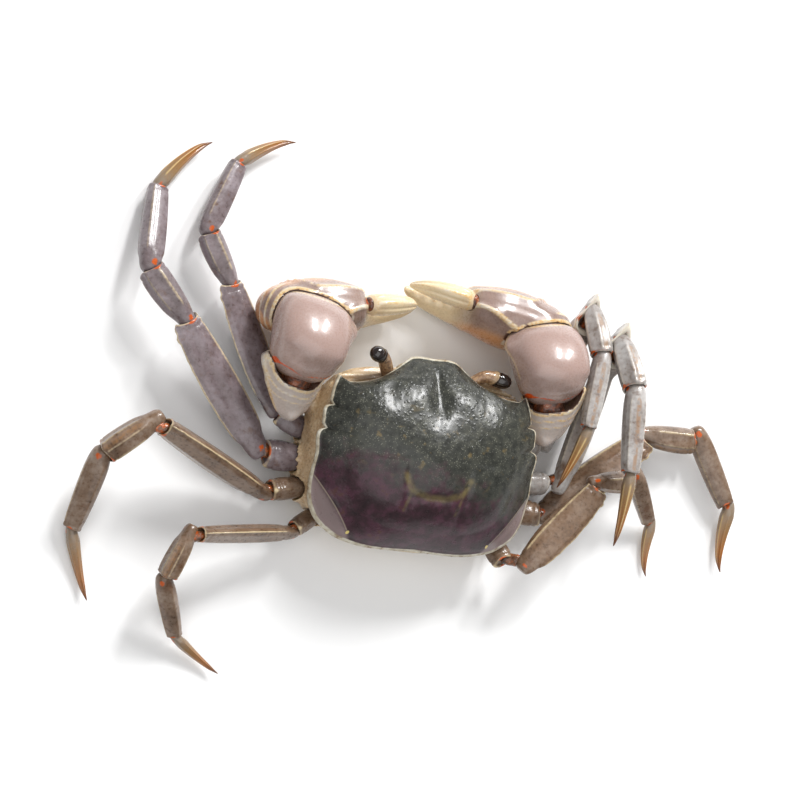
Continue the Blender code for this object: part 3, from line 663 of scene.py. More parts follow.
# claws: the same places as the solids, start to end, outwards, back and up
clawShape = {
    "fit": 0.1,
    "hollow": (0.0, 1.9, 1.3),
    "pieces": {
        "arm": {"depth": 8.4, "breadth": 9.8, "crest": 0.2, "sides": 18},
        "knuckle": {"depth": 11.2, "breadth": 11.8, "crest": 0.0, "sides": 20},
        "palm": {"depth": 11.8, "breadth": 8.4, "crest": 0.0, "sides": 20},
        "finger": {"depth": 3.9, "breadth": 3.7, "crest": 0.0, "sides": 14},
    },
    "stations": {
        "arm": [(-0.02, 0.1, 0.08, 0), (0.0, 0.26, 0.18, 0), (0.04, 0.36, 0.28, 0), (0.12, 0.46, 0.42, 0),
                (0.25, 0.6, 0.58, 0), (0.4, 0.73, 0.73, 0), (0.6, 0.88, 0.89, 0), (0.8, 0.99, 1.01, 0),
                (0.95, 1.06, 1.09, 0), (1.06, 1.08, 1.12, 0), (1.12, 0.98, 1.02, 0), (1.12, 0.5, 0.5, 0)],
        "knuckle": [(-0.24, 0.2, 0.2, -0.02), (-0.23, 0.38, 0.38, -0.02), (-0.19, 0.56, 0.56, -0.01),
                    (-0.12, 0.74, 0.73, 0.02), (-0.03, 0.88, 0.86, 0.04), (0.08, 0.98, 0.94, 0.06),
                    (0.22, 1.04, 1.0, 0.07), (0.42, 1.06, 1.05, 0.03), (0.62, 1.02, 1.06, -0.05),
                    (0.78, 0.95, 1.0, -0.12), (0.89, 0.84, 0.9, -0.17), (0.96, 0.7, 0.74, -0.2),
                    (1.0, 0.5, 0.52, -0.21), (1.01, 0.25, 0.25, -0.21)],
        "palm": [(-0.01, 0.2, 0.25, 0), (0.0, 0.4, 0.46, 0), (0.02, 0.56, 0.62, 0), (0.06, 0.72, 0.77, 0),
                 (0.13, 0.88, 0.9, 0), (0.22, 0.99, 0.99, 0), (0.34, 1.03, 1.02, 0), (0.46, 1.01, 0.97, 0),
                 (0.55, 0.94, 0.89, -0.01), (0.6, 0.84, 0.82, -0.05), (0.635, 0.62, 0.74, -0.16),
                 (0.67, 0.5, 0.66, -0.23), (0.74, 0.4, 0.56, -0.27), (0.82, 0.32, 0.47, -0.26),
                 (0.9, 0.23, 0.35, -0.2), (0.96, 0.15, 0.22, -0.12), (0.995, 0.07, 0.1, -0.05)],
        "finger": [(-0.06, 0.25, 0.3, -0.12), (-0.05, 0.45, 0.5, -0.11), (0.0, 0.68, 0.72, -0.08),
                   (0.06, 0.92, 0.92, -0.02), (0.2, 1.0, 0.98, 0.06), (0.36, 0.98, 0.96, 0.1),
                   (0.52, 0.87, 0.88, 0.1), (0.68, 0.73, 0.76, 0.05), (0.82, 0.54, 0.58, -0.05),
                   (0.92, 0.36, 0.4, -0.17), (0.98, 0.2, 0.22, -0.28), (1.0, 0.08, 0.1, -0.33)],
    },
}
clawPoses = {
    "left": {
        "arm": ((21.3, -3.4, 7.9), (21.9, -12.2, 10.6)),
        "knuckle": ((21.5, -11.6, 12.2), (19.3, -22.0, 13.3)),
        "palm": ((27.2, -19.8, 8.4), (0.7, -23.8, 5.0)),
        "finger": ((10.2, -22.4, 9.8), (0.9, -24.0, 7.4)),
    },
    "right": {
        "arm": ((20.6, -4.0, 8.8), (20.7, -12.8, 11.3)),
        "knuckle": ((20.2, -12.6, 11.6), (18.2, -22.8, 12.1)),
        "palm": ((23.8, -21.8, 8.2), (-3.0, -26.8, 5.0)),
        "finger": ((6.8, -25.2, 9.6), (-2.8, -27.2, 7.3)),
    },
}


def shapeArm(share, angle):
    body = softStep(share, 0.04, 0.2)
    # a flat top between two keeled edges
    edges = angleHill(angle, 12, 11) + angleHill(angle, 168, 11) + angleHill(angle, -90, 16)
    relief = 0.4 * edges * body - 0.5 * angleHill(angle, 90, 40) * body * (1 - softStep(share, 0.7, 1.0))
    relief -= 0.2 * (angleHill(angle, -40, 24) + angleHill(angle, -140, 24)) * body
    return relief, 0.9 * edges * body, 0.4 * (1 - softStep(share, 0.0, 0.06)), body


def shapeKnuckle(share, angle):
    body = softStep(share, 0.04, 0.2) * (1 - softStep(share, 0.85, 0.98))
    # rounded square from above, with a blunt tooth on the inner side
    relief = 0.45 * (angleHill(angle, 40, 24) + angleHill(angle, 140, 24)) * body
    relief += 0.9 * angleHill(angle, 172, 16) * hill(share, 0.7, 0.16)
    relief += 0.25 * angleHill(angle, 172, 7) * hill(share, 0.6, 0.34)
    rim = 0.75 * angleHill(angle, 172, 7) * body + 0.8 * hill(share, 0.95, 0.03)
    # an orange line round the near end, with a peg at both sides
    red = 0.88 * hill(share, -0.15 + 0.05 * np.cos(angle * 2), 0.02)
    # the tip that sits inside the arm goes below zero, which the finish paints as dark painted shade
    red -= 0.6 * (1 - softStep(share, -0.23, -0.17))
    red += 1.3 * (angleHill(angle, 8, 16) + angleHill(angle, 172, 16)) * hill(share, -0.07, 0.035)
    return relief, rim, red, body


def shapePalm(share, angle):
    body = softStep(share, 0.02, 0.12) * (1 - softStep(share, 0.9, 1.0))
    # a ridge in an S along the inner edge of the top, another round the outer face, and the keel below
    inner = angleHill(angle, 112 + 16 * np.sin(share * 9.5 - 0.9), 7)
    inner = inner * softStep(share, 0.1, 0.2) * (1 - softStep(share, 0.6, 0.68))
    outer = angleHill(angle, 50 - 95 * (1 - softStep(share, 0.06, 0.3)), 7)
    outer = outer * softStep(share, 0.05, 0.1) * (1 - softStep(share, 0.6, 0.66))
    keel = angleHill(angle, -88, 12) * body
    relief = 0.5 * inner + 0.38 * outer + 0.2 * keel
    relief -= 0.3 * angleHill(angle, 80, 14) * softStep(share, 0.16, 0.26) * (1 - softStep(share, 0.56, 0.62))
    relief += 0.7 * (angleHill(angle, -10, 42) + angleHill(angle, 190, 42)) * hill(share, 0.36, 0.2)
    # the step where the fixed finger leaves the palm
    relief += 0.14 * hill(share, 0.605, 0.02) * (1 - angleHill(angle, 90, 40))
    # blunt teeth along the fixed finger, larger in its middle
    gape = softStep(share, 0.64, 0.7) * (1 - softStep(share, 0.93, 0.98))
    teeth = np.maximum(0.0, np.sin((share - 0.64) * 88)) ** 0.7
    relief += 0.5 * teeth * gape * angleHill(angle, 90, 26) * (0.5 + 0.6 * hill(share, 0.78, 0.1))
    relief += 0.14 * (angleHill(angle, 10, 10) + angleHill(angle, 170, 10) - angleHill(angle, -30, 12)) * gape
    rim = 1.2 * inner + 0.9 * outer + 0.2 * keel + 0.5 * hill(share, 0.61, 0.02)
    return relief, rim, 0 * share, softStep(share, 0.56, 0.72)


def shapeFinger(share, angle):
    body = softStep(share, 0.02, 0.12) * (1 - softStep(share, 0.9, 1.0))
    teeth = np.maximum(0.0, np.sin((share + 0.03) * 34)) ** 0.7
    relief = 0.42 * teeth * body * angleHill(angle, -90, 24) * (0.5 + 0.5 * hill(share, 0.4, 0.3))
    grooves = angleHill(angle, 55, 8) + angleHill(angle, 125, 8)
    relief += 0.2 * angleHill(angle, 90, 12) * body - 0.16 * grooves * body
    relief += 0.12 * hill(share, 0.05, 0.03)
    rim = angleHill(angle, 90, 12) * body + 0.8 * hill(share, 0.05, 0.03)
    red = 0.7 * (1 - softStep(share, -0.03, 0.01))
    return relief, rim, red, 0.5 + 0.5 * softStep(share, 0.0, 0.35)


clawShapers = {"arm": shapeArm, "knuckle": shapeKnuckle, "palm": shapePalm, "finger": shapeFinger}


def clawEnds(sideName, kind):
    side = 1 if sideName == "left" else -1
    return [Vector((side * out, back, up)) for out, back, up in clawPoses[sideName][kind]]


def surfaceOf(piece):
    mesh = piece.data
    mesh.calc_loop_triangles()
    triangles = [tuple(t.vertices) for t in mesh.loop_triangles]
    return BVHTree.FromPolygons([v.co.copy() for v in mesh.vertices], triangles)


def cutRound(piece, inner, gap, shift=(0, 0, 0)):
    # hollows a piece round the one that turns in it, and gives the surface of the hollow
    deselect()
    cutter = bpy.data.objects.new("hollow", inner.data.copy())
    bpy.context.scene.collection.objects.link(cutter)
    finishWith(cutter, "DISPLACE", strength=gap * mm, mid_level=0.0)
    movePoints(cutter, points(cutter) + np.array(shift) * mm)
    finishWith(piece, "BOOLEAN", operation="DIFFERENCE", object=cutter, solver="EXACT")
    surface = surfaceOf(cutter)
    bpy.data.objects.remove(cutter)
    return surface


def distances(piece, tree):
    return np.array([tree.find_nearest(v.co)[3] for v in piece.data.vertices]) / mm


def makeClaw(sideName, finish, skinFinish):
    made = {}
    turned = sideName == "right"
    for kind, shape in clawShape["pieces"].items():
        start, end = clawEnds(sideName, kind)
        size = (clawShape["stations"][kind], (end - start).length, shape["depth"], shape["breadth"])
        piece = pullLimb(f"claw_{sideName}.{kind}", shape["sides"], *size)
        back = 0.5 if kind == "finger" else 0.0
        shapeLimb(piece, clawShapers[kind], *size, shape["crest"], 1.0, back=back, turned=turned)
        made[kind] = (piece, lay(piece, start, end, (0, 0, 1)), size)
    fit = clawShape["fit"]
    for kind, cuts in (
        ("arm", [("knuckle", fit, (0, 0, 0)), ("knuckle", -0.5, clawShape["hollow"])]),
        ("palm", [("knuckle", fit, (0, 0, 0)), ("finger", fit, (0, 0, 0))]),
    ):
        piece, turn, size = made[kind]
        hollows = [cutRound(piece, made[name][0], gap, shift) for name, gap, shift in cuts]
        if kind == "palm":
            hollows = hollows[:1]
        # marks again, because the cut made new points: bands follow the cut edge
        local = np.array([turn.inverted() @ v.co for v in piece.data.vertices]) / mm
        share, angle, across, high = limbPlaces(local, *size)[:4]
        rim, red, centre = clawShapers[kind](share, np.pi - angle if turned else angle)[1:]
        near = np.min([distances(piece, hollow) for hollow in hollows], axis=0)
        inside = near < 0.04
        # two fainter bands beside the first; on the palm only round its near end
        wrap = 1 - softStep(share, 0.1, 0.18) if kind == "palm" else 1
        band = 1.4 * hill(near, 0.25, 0.34) + wrap * (hill(near, 1.35, 0.26) + 0.85 * hill(near, 2.35, 0.24))
        rim = np.maximum(rim, band * ~inside)
        # the walls of the cut socket go below zero, which the finish paints dark brown as painted shade
        red = red - 1.2 * inside
        keepMarks(piece, "skin", np.stack([share, high, across], axis=1))
        keepMarks(piece, "marks", np.clip(np.stack([rim, red, centre], axis=1), -1.5, 1.5))
        # thin raised bands beside the opening
        ring = hill(near, 0.25, 0.3) + wrap * (0.7 * hill(near, 1.35, 0.24) + 0.6 * hill(near, 2.35, 0.24))
        normals = np.array([v.normal for v in piece.data.vertices])
        movePoints(piece, points(piece) + normals * (ring * 0.16 * ~inside)[:, None] * mm)
    for kind, (piece, turn, size) in made.items():
        settle(piece, finish[kind], "claw", f"claw_{sideName}_{kind}")
        if kind in ("arm", "palm"):
            pick(piece)
            bpy.ops.object.shade_smooth_by_angle(angle=math.radians(42))
    makeClawSkins(sideName, skinFinish)


clawSkin = [(0.0, 0.5, 0.5, 0), (0.06, 0.85, 0.85, 0), (0.3, 1.0, 1.0, 0), (0.45, 0.9, 0.9, 0),
            (0.6, 0.98, 0.98, 0), (0.8, 0.9, 0.9, 0), (0.95, 0.8, 0.8, 0), (1.0, 0.5, 0.5, 0)]


def makeClawSkins(sideName, finish):
    # soft skin between arm and knuckle, and between palm and moving finger
    armStart, armEnd = clawEnds(sideName, "arm")
    knuckleStart, knuckleEnd = clawEnds(sideName, "knuckle")
    fingerStart, fingerEnd = clawEnds(sideName, "finger")
    made = []
    for start, end, thick in (
        (armEnd.lerp(armStart, 0.5), knuckleStart.lerp(knuckleEnd, 0.05), 5.4),
        (fingerStart.lerp(fingerEnd, -0.08), fingerStart.lerp(fingerEnd, 0.1), 2.6),
    ):
        piece = pullLimb(f"claw_{sideName}.skin", 14, clawSkin, (end - start).length, thick, thick)
        lay(piece, start, end, (0.1, 0.1, 1))
        made.append(piece)
    joinSkins(made, f"claw_{sideName}.joint_skins", 0.00008, 1200, finish, "claw")


# eyes, mouth and tail
eyes = {
    "left": ((6.8, -14.0, 10.9), (11.0, -14.2, 15.7)),
    "right": ((6.6, -13.9, 10.8), (13.5, -12.7, 11.3)),
    "stations": [(-0.42, 0.7, 0.7, 0), (-0.4, 1.4, 1.4, 0), (-0.3, 2.0, 2.0, 0), (-0.1, 2.2, 2.2, 0),
                 (0.1, 2.2, 2.2, 0), (0.24, 2.3, 2.3, 0), (0.42, 2.1, 2.1, 0), (0.54, 2.1, 2.1, 0),
                 (0.6, 2.3, 2.3, 0), (0.68, 2.5, 2.5, 0), (0.78, 2.6, 2.6, 0), (0.88, 2.35, 2.35, 0),
                 (0.95, 1.8, 1.8, 0), (0.99, 1.1, 1.1, 0), (1.0, 0.5, 0.5, 0)],
    "bend": (0.0, 3.4, -0.6),
}


def shapeEye(share, angle):
    # a slanted edge where the stalk ends and the black of the eye begins
    edge = 0.56 + 0.1 * np.cos(angle - 1.2)
    black = softStep(share, edge - 0.015, edge + 0.015)
    relief = 0.12 * hill(share, edge, 0.03) - 0.1 * hill(share, edge + 0.045, 0.02)
    relief += 0.1 * angleHill(angle, 60, 30) * (1 - black) * hill(share, 0.3, 0.15)
    return relief, hill(share, edge - 0.03, 0.04), 0 * share, black


def makeEye(sideName, finish):
    side = 1 if sideName == "left" else -1
    start, end = (Vector((side * x, y, z)) for x, y, z in eyes[sideName])
    length = (end - start).length
    piece = pullLimb(f"eye_{sideName}.stalk", 18, eyes["stations"], length, 1.0, 1.0)
    shapeLimb(piece, shapeEye, eyes["stations"], length, 1.0, 1.0, 0.0, 1.0)
    lay(piece, start, end, (0, 0, 1))
    # its foot bends back, in under the front margin of the shell
    foot = 1 - softStep(readMarks(piece, "skin")[:, 0], -0.4, 0.5)
    movePoints(piece, points(piece) + foot[:, None] * np.array(eyes["bend"]) * mm)
    settle(piece, finish, "eye", f"eye_{sideName}")


mouth = {
    "low": (2.35, -11.0, 2.9), "high": (2.75, -14.0, 9.3), "width": 4.3, "depth": 1.5,
    "stations": [(-0.02, 0.3, 0.2, 0), (0.0, 0.7, 0.4, 0), (0.05, 0.95, 0.68, 0), (0.16, 1.02, 0.9, 0),
                 (0.36, 1.02, 1.0, 0), (0.52, 1.0, 0.94, 0), (0.6, 0.86, 0.84, 0), (0.66, 1.0, 0.94, 0),
                 (0.78, 1.02, 0.96, 0), (0.92, 1.0, 0.78, 0), (0.98, 0.8, 0.56, 0), (1.0, 0.4, 0.3, 0)],
}


def shapeMouth(share, angle):
    split = hill(share, 0.6, 0.025)
    slant = angleHill(angle, 90 + 50 * (share - 0.4), 13) * softStep(share, 0.08, 0.2)
    slant = slant * (1 - softStep(share, 0.85, 0.95))
    relief = 0.22 * slant - 0.2 * split
    rim = slant + angleHill(angle, 12, 10) + angleHill(angle, 168, 10)
    return relief, rim, split * 0.4, 0 * share


def makeMouthPlate(sideName, finish):
    side = 1 if sideName == "left" else -1
    low, high = (Vector((side * x, y, z)) for x, y, z in (mouth["low"], mouth["high"]))
    length = (high - low).length
    piece = pullLimb(f"mouth_{sideName}.plate", 18, mouth["stations"], length, mouth["depth"], mouth["width"])
    shapeLimb(piece, shapeMouth, mouth["stations"], length, mouth["depth"], mouth["width"], 0.0, 1.0)
    lay(piece, low, high, (high - low).cross(Vector((1, 0, 0))))
    settle(piece, finish, "flank", f"mouth_plate_{sideName}")


# y, height of the middle, width and thickness
tailFlap = {
    "path": [(14.1, 6.6, 8.6, 1.0), (13.95, 5.9, 10.6, 1.3), (13.3, 3.8, 10.2, 1.3), (11.9, 1.9, 9.6, 1.3),
             (9.6, 0.75, 9.2, 1.5), (6.4, 0.75, 8.0, 1.5), (3.2, 0.75, 6.0, 1.5), (0.0, 0.75, 3.8, 1.5),
             (-2.3, 0.75, 2.5, 1.4), (-2.9, 0.75, 1.2, 0.8)],
    "joints": (1.6, 4.4, 7.2, 10.0, 12.9),
}


def makeTailFlap(finish):
    # a flat bar bent round the hind edge, then pressed along its path, joint by joint
    deselect()
    bpy.ops.mesh.primitive_cube_add(size=1)
    piece = bpy.context.object
    piece.name = piece.data.name = "tail_flap.segments"
    bpy.ops.object.mode_set(mode="EDIT")
    bpy.ops.mesh.select_all(action="SELECT")
    bpy.ops.mesh.subdivide(number_cuts=7)
    bpy.ops.object.mode_set(mode="OBJECT")
    finishWith(piece, "SUBSURF", levels=2, render_levels=2)
    found = points(piece)
    path = np.array(tailFlap["path"])
    reach = np.concatenate([[0], np.cumsum(np.hypot(np.diff(path[:, 0]), np.diff(path[:, 1])))])
    table = [(at, *row) for at, row in zip(reach, path)]
    low, high = found.min(axis=0), found.max(axis=0)
    shareX, shareY, shareZ = ((found[:, k] - low[k]) / (high[k] - low[k]) for k in range(3))
    at = shareY * reach[-1]
    y, z, wide, thick = smoothRead(table, at).T
    ahead = smoothRead(table, at + 0.05)
    behind = smoothRead(table, at - 0.05)
    way = np.stack([ahead[:, 0] - behind[:, 0], ahead[:, 1] - behind[:, 1]], axis=1)
    way /= np.linalg.norm(way, axis=1)[:, None]
    # out of the belly: downwards underneath, backwards behind
    out = np.stack([-way[:, 1], way[:, 0]], axis=1)
    joint = sum(hill(at, place, 0.2) for place in tailFlap["joints"])
    across = (shareX - 0.5) * 2
    side = np.abs(across)
    level = (shareZ - 0.5) * 2 * (thick / 2)
    outer = softStep(shareZ, 0.2, 0.6)
    level += outer * (0.16 * (1 - side**2) - 0.22 * joint - 0.1 * hill(side, 0.62, 0.1))
    px = across * wide / 2 * (1 - 0.05 * joint)
    py, pz = y + out[:, 0] * level, z + out[:, 1] * level
    pz = np.maximum(pz, 0.0)
    movePoints(piece, np.stack([px, py, pz], axis=1) * mm)
    keepMarks(piece, "marks", np.stack([softStep(side, 0.82, 0.97), joint, outer], axis=1))
    settle(piece, finish, "flank", "tail_flap")


# the body under the shell
bodyShell = {"voxel": 0.24, "soften": 18, "legGaps": [(-5.2, 0.9), (-0.4, 0.7), (4.0, 0.7), (8.2, 0.7)]}


def makeBody(finish):
    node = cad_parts["body"]
    deselect()
    piece = bpy.data.objects.new("body.shell", node.data.copy())
    bpy.context.scene.collection.objects.link(piece)
    pick(piece)
    bpy.ops.object.mode_set(mode="EDIT")
    bpy.ops.mesh.select_all(action="SELECT")
    bpy.ops.mesh.remove_doubles(threshold=0.00001)
    bpy.ops.object.mode_set(mode="OBJECT")
    finishWith(piece, "REMESH", mode="VOXEL", voxel_size=bodyShell["voxel"] * mm, use_smooth_shade=True)
    finishWith(piece, "SMOOTH", factor=0.5, iterations=bodyShell["soften"])
    found = points(piece) / mm
    normals = np.array([v.normal for v in piece.data.vertices])
    x, y, z = found.T
    side = np.abs(x)
    belly = softStep(-normals[:, 2], 0.4, 0.8)
    flank = softStep(np.abs(normals[:, 0]), 0.35, 0.75) * softStep(z, 2.0, 4.0)
    face = softStep(-normals[:, 1], 0.4, 0.75) * softStep(z, 2.5, 4.0)
    rear = softStep(normals[:, 1], 0.4, 0.8)
    # seams between the plates of the belly, fanning out to the gaps between the legs
    seams = np.zeros(len(x))
    for at, lean in bodyShell["legGaps"]:
        line = at + (side - 8) * 0.22 * np.sign(at + 1) * lean
        seams = np.maximum(seams, hill(y, line, 0.22) * softStep(side, 2.0, 3.5))
    relief = -0.3 * seams * belly
    # cheek panels and the ridges under the eyes
    ridge = hill(z, 9.0 + 0.05 * side, 0.2) * face * softStep(side, 2.5, 4.5)
    fold = hill(z, 7.6 + 0.1 * side, 0.14) * face * softStep(side, 5.0, 6.0)
    seam = hill(side, 5.6, 0.16) * face
    relief += 0.22 * ridge * (1 + 0.5 * np.sin(side * 9)) + 0.1 * fold - 0.16 * seam
    # a long seam low on the flank, and fine grain above it
    line = hill(z, 4.6 + 0.06 * (y + 5), 0.16) * flank
    relief -= 0.14 * line
    grain = np.array([noise.voronoi(Vector(p) * 1.7)[0][0] for p in found])
    grainy = np.maximum(flank, 0.7 * face * softStep(side, 6.0, 7.0))
    relief += 0.06 * softStep(0.45 - grain, 0.0, 0.3) * grainy
    found = found + normals * relief[:, None]
    found[:, 2] = np.maximum(found[:, 2], 0.0)
    movePoints(piece, found * mm)
    rim = np.clip(ridge + 0.8 * fold + 0.5 * line, 0, 1)
    keepMarks(piece, "marks", np.stack([rim, np.clip(seams * belly + seam, 0, 1), belly], axis=1))
    keepMarks(piece, "skin", np.stack([flank, face, rear], axis=1))
    settle(piece, finish, "flank", "body")


def bodyFinish():
    material, shader, wire, place = startFinish("body shell", 0.42, 0.3, 0.15, 1.5, 0.1)
    y, z = axes(place)[1:]
    rim, seam, belly = marks(wire, "marks")
    flank, face, rear = marks(wire, "skin")
    soft = cloud(place, 0.4, 4)
    fine = cloud(place, 2.4, 4)
    dots = cells(place, 2.2)
    tan = (soft * 0.5 + fine * 0.5).ramp(
        (0.3, rgb(140, 110, 76)), (0.5, rgb(188, 160, 124)), (0.72, rgb(214, 194, 160)))
    tan = tan.paint(rgb(98, 74, 54), dots.rise(0.2, 0.08) * flank * 0.8)
    cheek = tan.paint(rgb(206, 182, 128), (face * z.rise(9.0, 4.0)) * 0.75)
    # painted shade: darker brown at the top of the face, just under the front margin of the shell
    cheek = cheek.paint(rgb(112, 86, 60), y.rise(-9.0, -11.5) * z.rise(8.6, 10.4) * (0.5 + soft * 0.8))
    pale = cheek.paint(rgb(214, 200, 170), belly * 0.7)
    hind = pale.paint(rgb(122, 98, 92), rear * z.rise(4.0, 8.0) * 0.6)
    lined = hind.paint(rgb(232, 214, 178), rim * 0.8)
    joint = lined.paint(rgb(176, 110, 62), seam * (0.4 + fine * 0.6))
    wet = 0.3 + fine * 0.25
    endFinish(shader, wire, joint, wet, fine * 0.6 + dots.rise(0.4, 0.1) * flank, 0.12, 0.5)
    return material


def plateFinish():
    # mouth plates and tail flap
    material, shader, wire, place = startFinish("pale plate", 0.4, 0.3, 0.15, 1.5, 0.15)
    rim, joint = marks(wire, "marks")[:2]
    fine = cloud(place, 3.0, 3)
    base = cloud(place, 0.6, 4).ramp(
        (0.3, rgb(170, 150, 122)), (0.5, rgb(198, 182, 150)), (0.72, rgb(216, 204, 178)))
    base = base.paint(rgb(150, 96, 60), joint * (0.3 + fine * 0.5))
    base = base.paint(rgb(232, 222, 196), rim * 0.6)
    endFinish(shader, wire, base, 0.3 + fine * 0.2, fine, 0.1, 0.4)
    return material


def eyeFinish():
    material, shader, wire, place = startFinish("eye", 0.12, 0.6, 0.06, 1.5)
    rim, black = marks(wire, "marks")[::2]
    fine = cloud(place, 2.2, 4)
    stalk = fine.ramp((0.3, rgb(80, 54, 34)), (0.5, rgb(134, 102, 74)), (0.75, rgb(172, 144, 110)))
    ringed = stalk.paint(rgb(176, 154, 116), rim * 0.4)
    colour = ringed.paint(rgb(26, 15, 12), black)
    wet = 0.34 - black * 0.26
    facets = cells(place, 9.0) * black * 0.3 + fine * (1 - black)
    endFinish(shader, wire, colour, wet, facets, 0.08, 0.35)
    return material


# dark and light of the upper side, the lower side, the fingers, and how high the lower side's colour reaches
clawColours = {
    "arm": ((152, 140, 134), (192, 182, 174), (172, 148, 120), (178, 166, 158), 0.0),
    "knuckle": ((130, 108, 98), (168, 145, 137), (160, 118, 84), (156, 132, 124), 0.0),
    "palm": ((118, 96, 88), (146, 124, 114), (188, 136, 94), (214, 196, 162), 0.55),
    "finger": ((176, 142, 106), (200, 172, 134), (190, 138, 86), (214, 196, 162), 0.3),
}


def clawFinish(kind):
    # mauve above, warm tan within, cream fingers and ridges, and dark painted shade inside the sockets
    material, shader, wire, place = startFinish("claw " + kind, 0.26, 0.4, 0.08, 1.45, 0.12)
    dark, light, inside, pale = (rgb(*colour) for colour in clawColours[kind][:4])
    warmFrom = clawColours[kind][4]
    up = marks(wire, "skin")[1]
    rim, red, centre = marks(wire, "marks")
    soft = cloud(place, 0.28, 4)
    fine = cloud(place, 2.6, 3)
    mauve = soft.ramp((0.3, dark), (0.68, light))
    specked = mauve.paint(rgb(120, 96, 92), cells(place, 2.8).rise(0.2, 0.06) * fine.rise(0.45, 0.6) * 0.45)
    warm = specked.paint(inside, (warmFrom - up + (soft - 0.5) * 0.4).rise(-0.1, 0.4))
    cream = warm.paint(pale, centre * (0.8 + fine * 0.3))
    edge = (soft * 0.6 + fine * 0.4).ramp(
        (0.35, rgb(196, 150, 78)), (0.5, rgb(212, 190, 150)), (0.62, rgb(206, 200, 190)))
    ridged = cream.paint(edge, (rim * (0.85 + fine * 0.3)).rise(0.4, 0.95) * 0.85)
    # painted shade: dark brown where red is below zero, on the walls of the cut sockets and on the knuckle's
    # tip inside the arm
    inner = ridged.paint(rgb(72, 44, 30), (red * -1.0).rise(0.3, 0.8) * (0.5 + fine * 0.8))
    orange = inner.paint(rgb(198, 74, 16), (red * (0.4 + fine * 1.1)).rise(0.5, 0.8))
    endFinish(shader, wire, orange, 0.2 + fine * 0.16, fine * 0.5 + soft * 0.6, 0.1, 0.35)
    return material


# the back shell
backShell = {
    "across": 176,
    "along": 152,
    "hub": (0.0, 3.0),
    "crown": 18.8,
    "lip": 1.3,
    "halfWidth": 17.4,
    "halfLength": 14.6,
    "roundness": 3.0,
    "frontRun": [(0.0, -14.85), (1.2, -14.95), (2.6, -14.95), (3.7, -14.7), (4.5, -14.1), (6.2, -12.6),
                 (8.0, -11.3), (10.5, -10.2), (13.0, -9.7), (14.6, -9.8), (15.6, -10.6)],
    "sideRuns": [
        [(15.6, -10.6), (16.3, -8.6), (16.65, -6.5)],
        [(16.65, -6.5), (16.1, -5.8)],
        [(16.1, -5.8), (17.2, -5.6), (17.6, -3.0)],
        [(17.6, -3.0), (17.0, -2.2)],
        [(17.0, -2.2), (17.8, -1.9), (17.9, 1.6), (18.1, 5.2), (17.6, 9.0), (16.4, 11.3), (15.0, 12.6)],
    ],
    "rearRun": [(15.0, 12.6), (13.2, 13.7), (11.0, 14.4), (8.0, 14.9), (5.5, 15.0), (0.0, 14.8)],
    "edgeHeights": [(-15.5, 12.0), (-10.0, 13.0), (-3.0, 12.8), (2.0, 11.6), (7.0, 9.4), (11.0, 8.8),
                    (15.5, 8.8)],
    "facet": ((17.9, 4.6), (10.4, 14.6)),
    "cup": [((5.3, 4.1), (4.1, 6.5)), ((-5.3, 4.1), (-4.1, 6.5)), ((4.1, 6.5), (1.4, 7.3)),
            ((-4.1, 6.5), (-1.4, 7.3)), ((1.4, 7.3), (-1.4, 7.3))],
    "stems": [((4.2, 6.8), (4.7, 9.4)), ((-4.2, 6.8), (-3.6, 9.4))],
    # height, then x and y of the middle, then reach along x and y; rows off the middle line are mirrored
    "relief": [
        (-0.55, 0.0, -10.8, 0.75, 2.2), (-0.75, 0.0, -7.4, 1.5, 2.8), (0.2, 2.9, -11.2, 2.0, 2.2),
        (0.42, 4.3, -8.6, 2.3, 2.6), (0.3, 9.4, -5.0, 3.4, 3.4), (-0.1, 8.0, -8.6, 1.0, 2.4),
        (0.4, 11.5, 4.5, 3.6, 5.0), (-0.45, 4.7, 4.8, 0.9, 2.2), (-0.25, 4.5, 9.0, 0.7, 1.6),
        (-0.25, 8.6, 1.2, 3.0, 0.7), (0.2, 13.4, -5.0, 2.0, 2.6), (0.25, 0.0, 1.0, 3.4, 4.0),
        (-0.35, 0.0, 7.4, 4.0, 0.6), (0.18, 0.0, 10.6, 3.4, 2.2),
    ],
    "grain": 0.016,
    # how far each step of the closed underside drops, and how much it draws in
    "underEdge": ((0.22, 1.001), (0.4, 0.994), (0.5, 0.975), (0.3, 0.93), (-0.9, 0.8)),
    "rimWidth": (0.976, 0.985),
}


def smoothRun(run, count=24):
    # points along a smooth line through the run's points
    found = np.array(run, dtype=float)
    reach = np.concatenate([[0], np.cumsum(np.linalg.norm(np.diff(found, axis=0), axis=1))])
    table = [(at, *point) for at, point in zip(reach, found)]
    if len(run) < 3:
        return found
    return smoothRead(table, np.linspace(0, reach[-1], count))


def evenRun(run, count):
    # count steps of the same length along a dense run
    reach = np.concatenate([[0], np.cumsum(np.linalg.norm(np.diff(run, axis=0), axis=1))])
    at = np.linspace(0, reach[-1], count + 1)
    return np.stack([np.interp(at, reach, run[:, k]) for k in range(2)], axis=1)


def shellEdge():
    # the four sides of the outline, each from its first corner to its last
    flip = np.array([-1, 1])
    half = smoothRun(backShell["frontRun"], 90)
    front = np.concatenate([(half * flip)[::-1], half[1:]])
    side = np.concatenate([smoothRun(run, 40) for run in backShell["sideRuns"]])
    half = smoothRun(backShell["rearRun"], 60)
    rear = np.concatenate([half * flip, half[::-1][1:]])
    return front, side, side * flip, rear


def shellRelief(x, y):
    relief = 0
    for high, middleX, middleY, wide, long in backShell["relief"]:
        for side in (-1, 1) if middleX else (1,):
            relief = relief + high * hill(x, side * middleX, wide) * hill(y, middleY, long)
    return relief


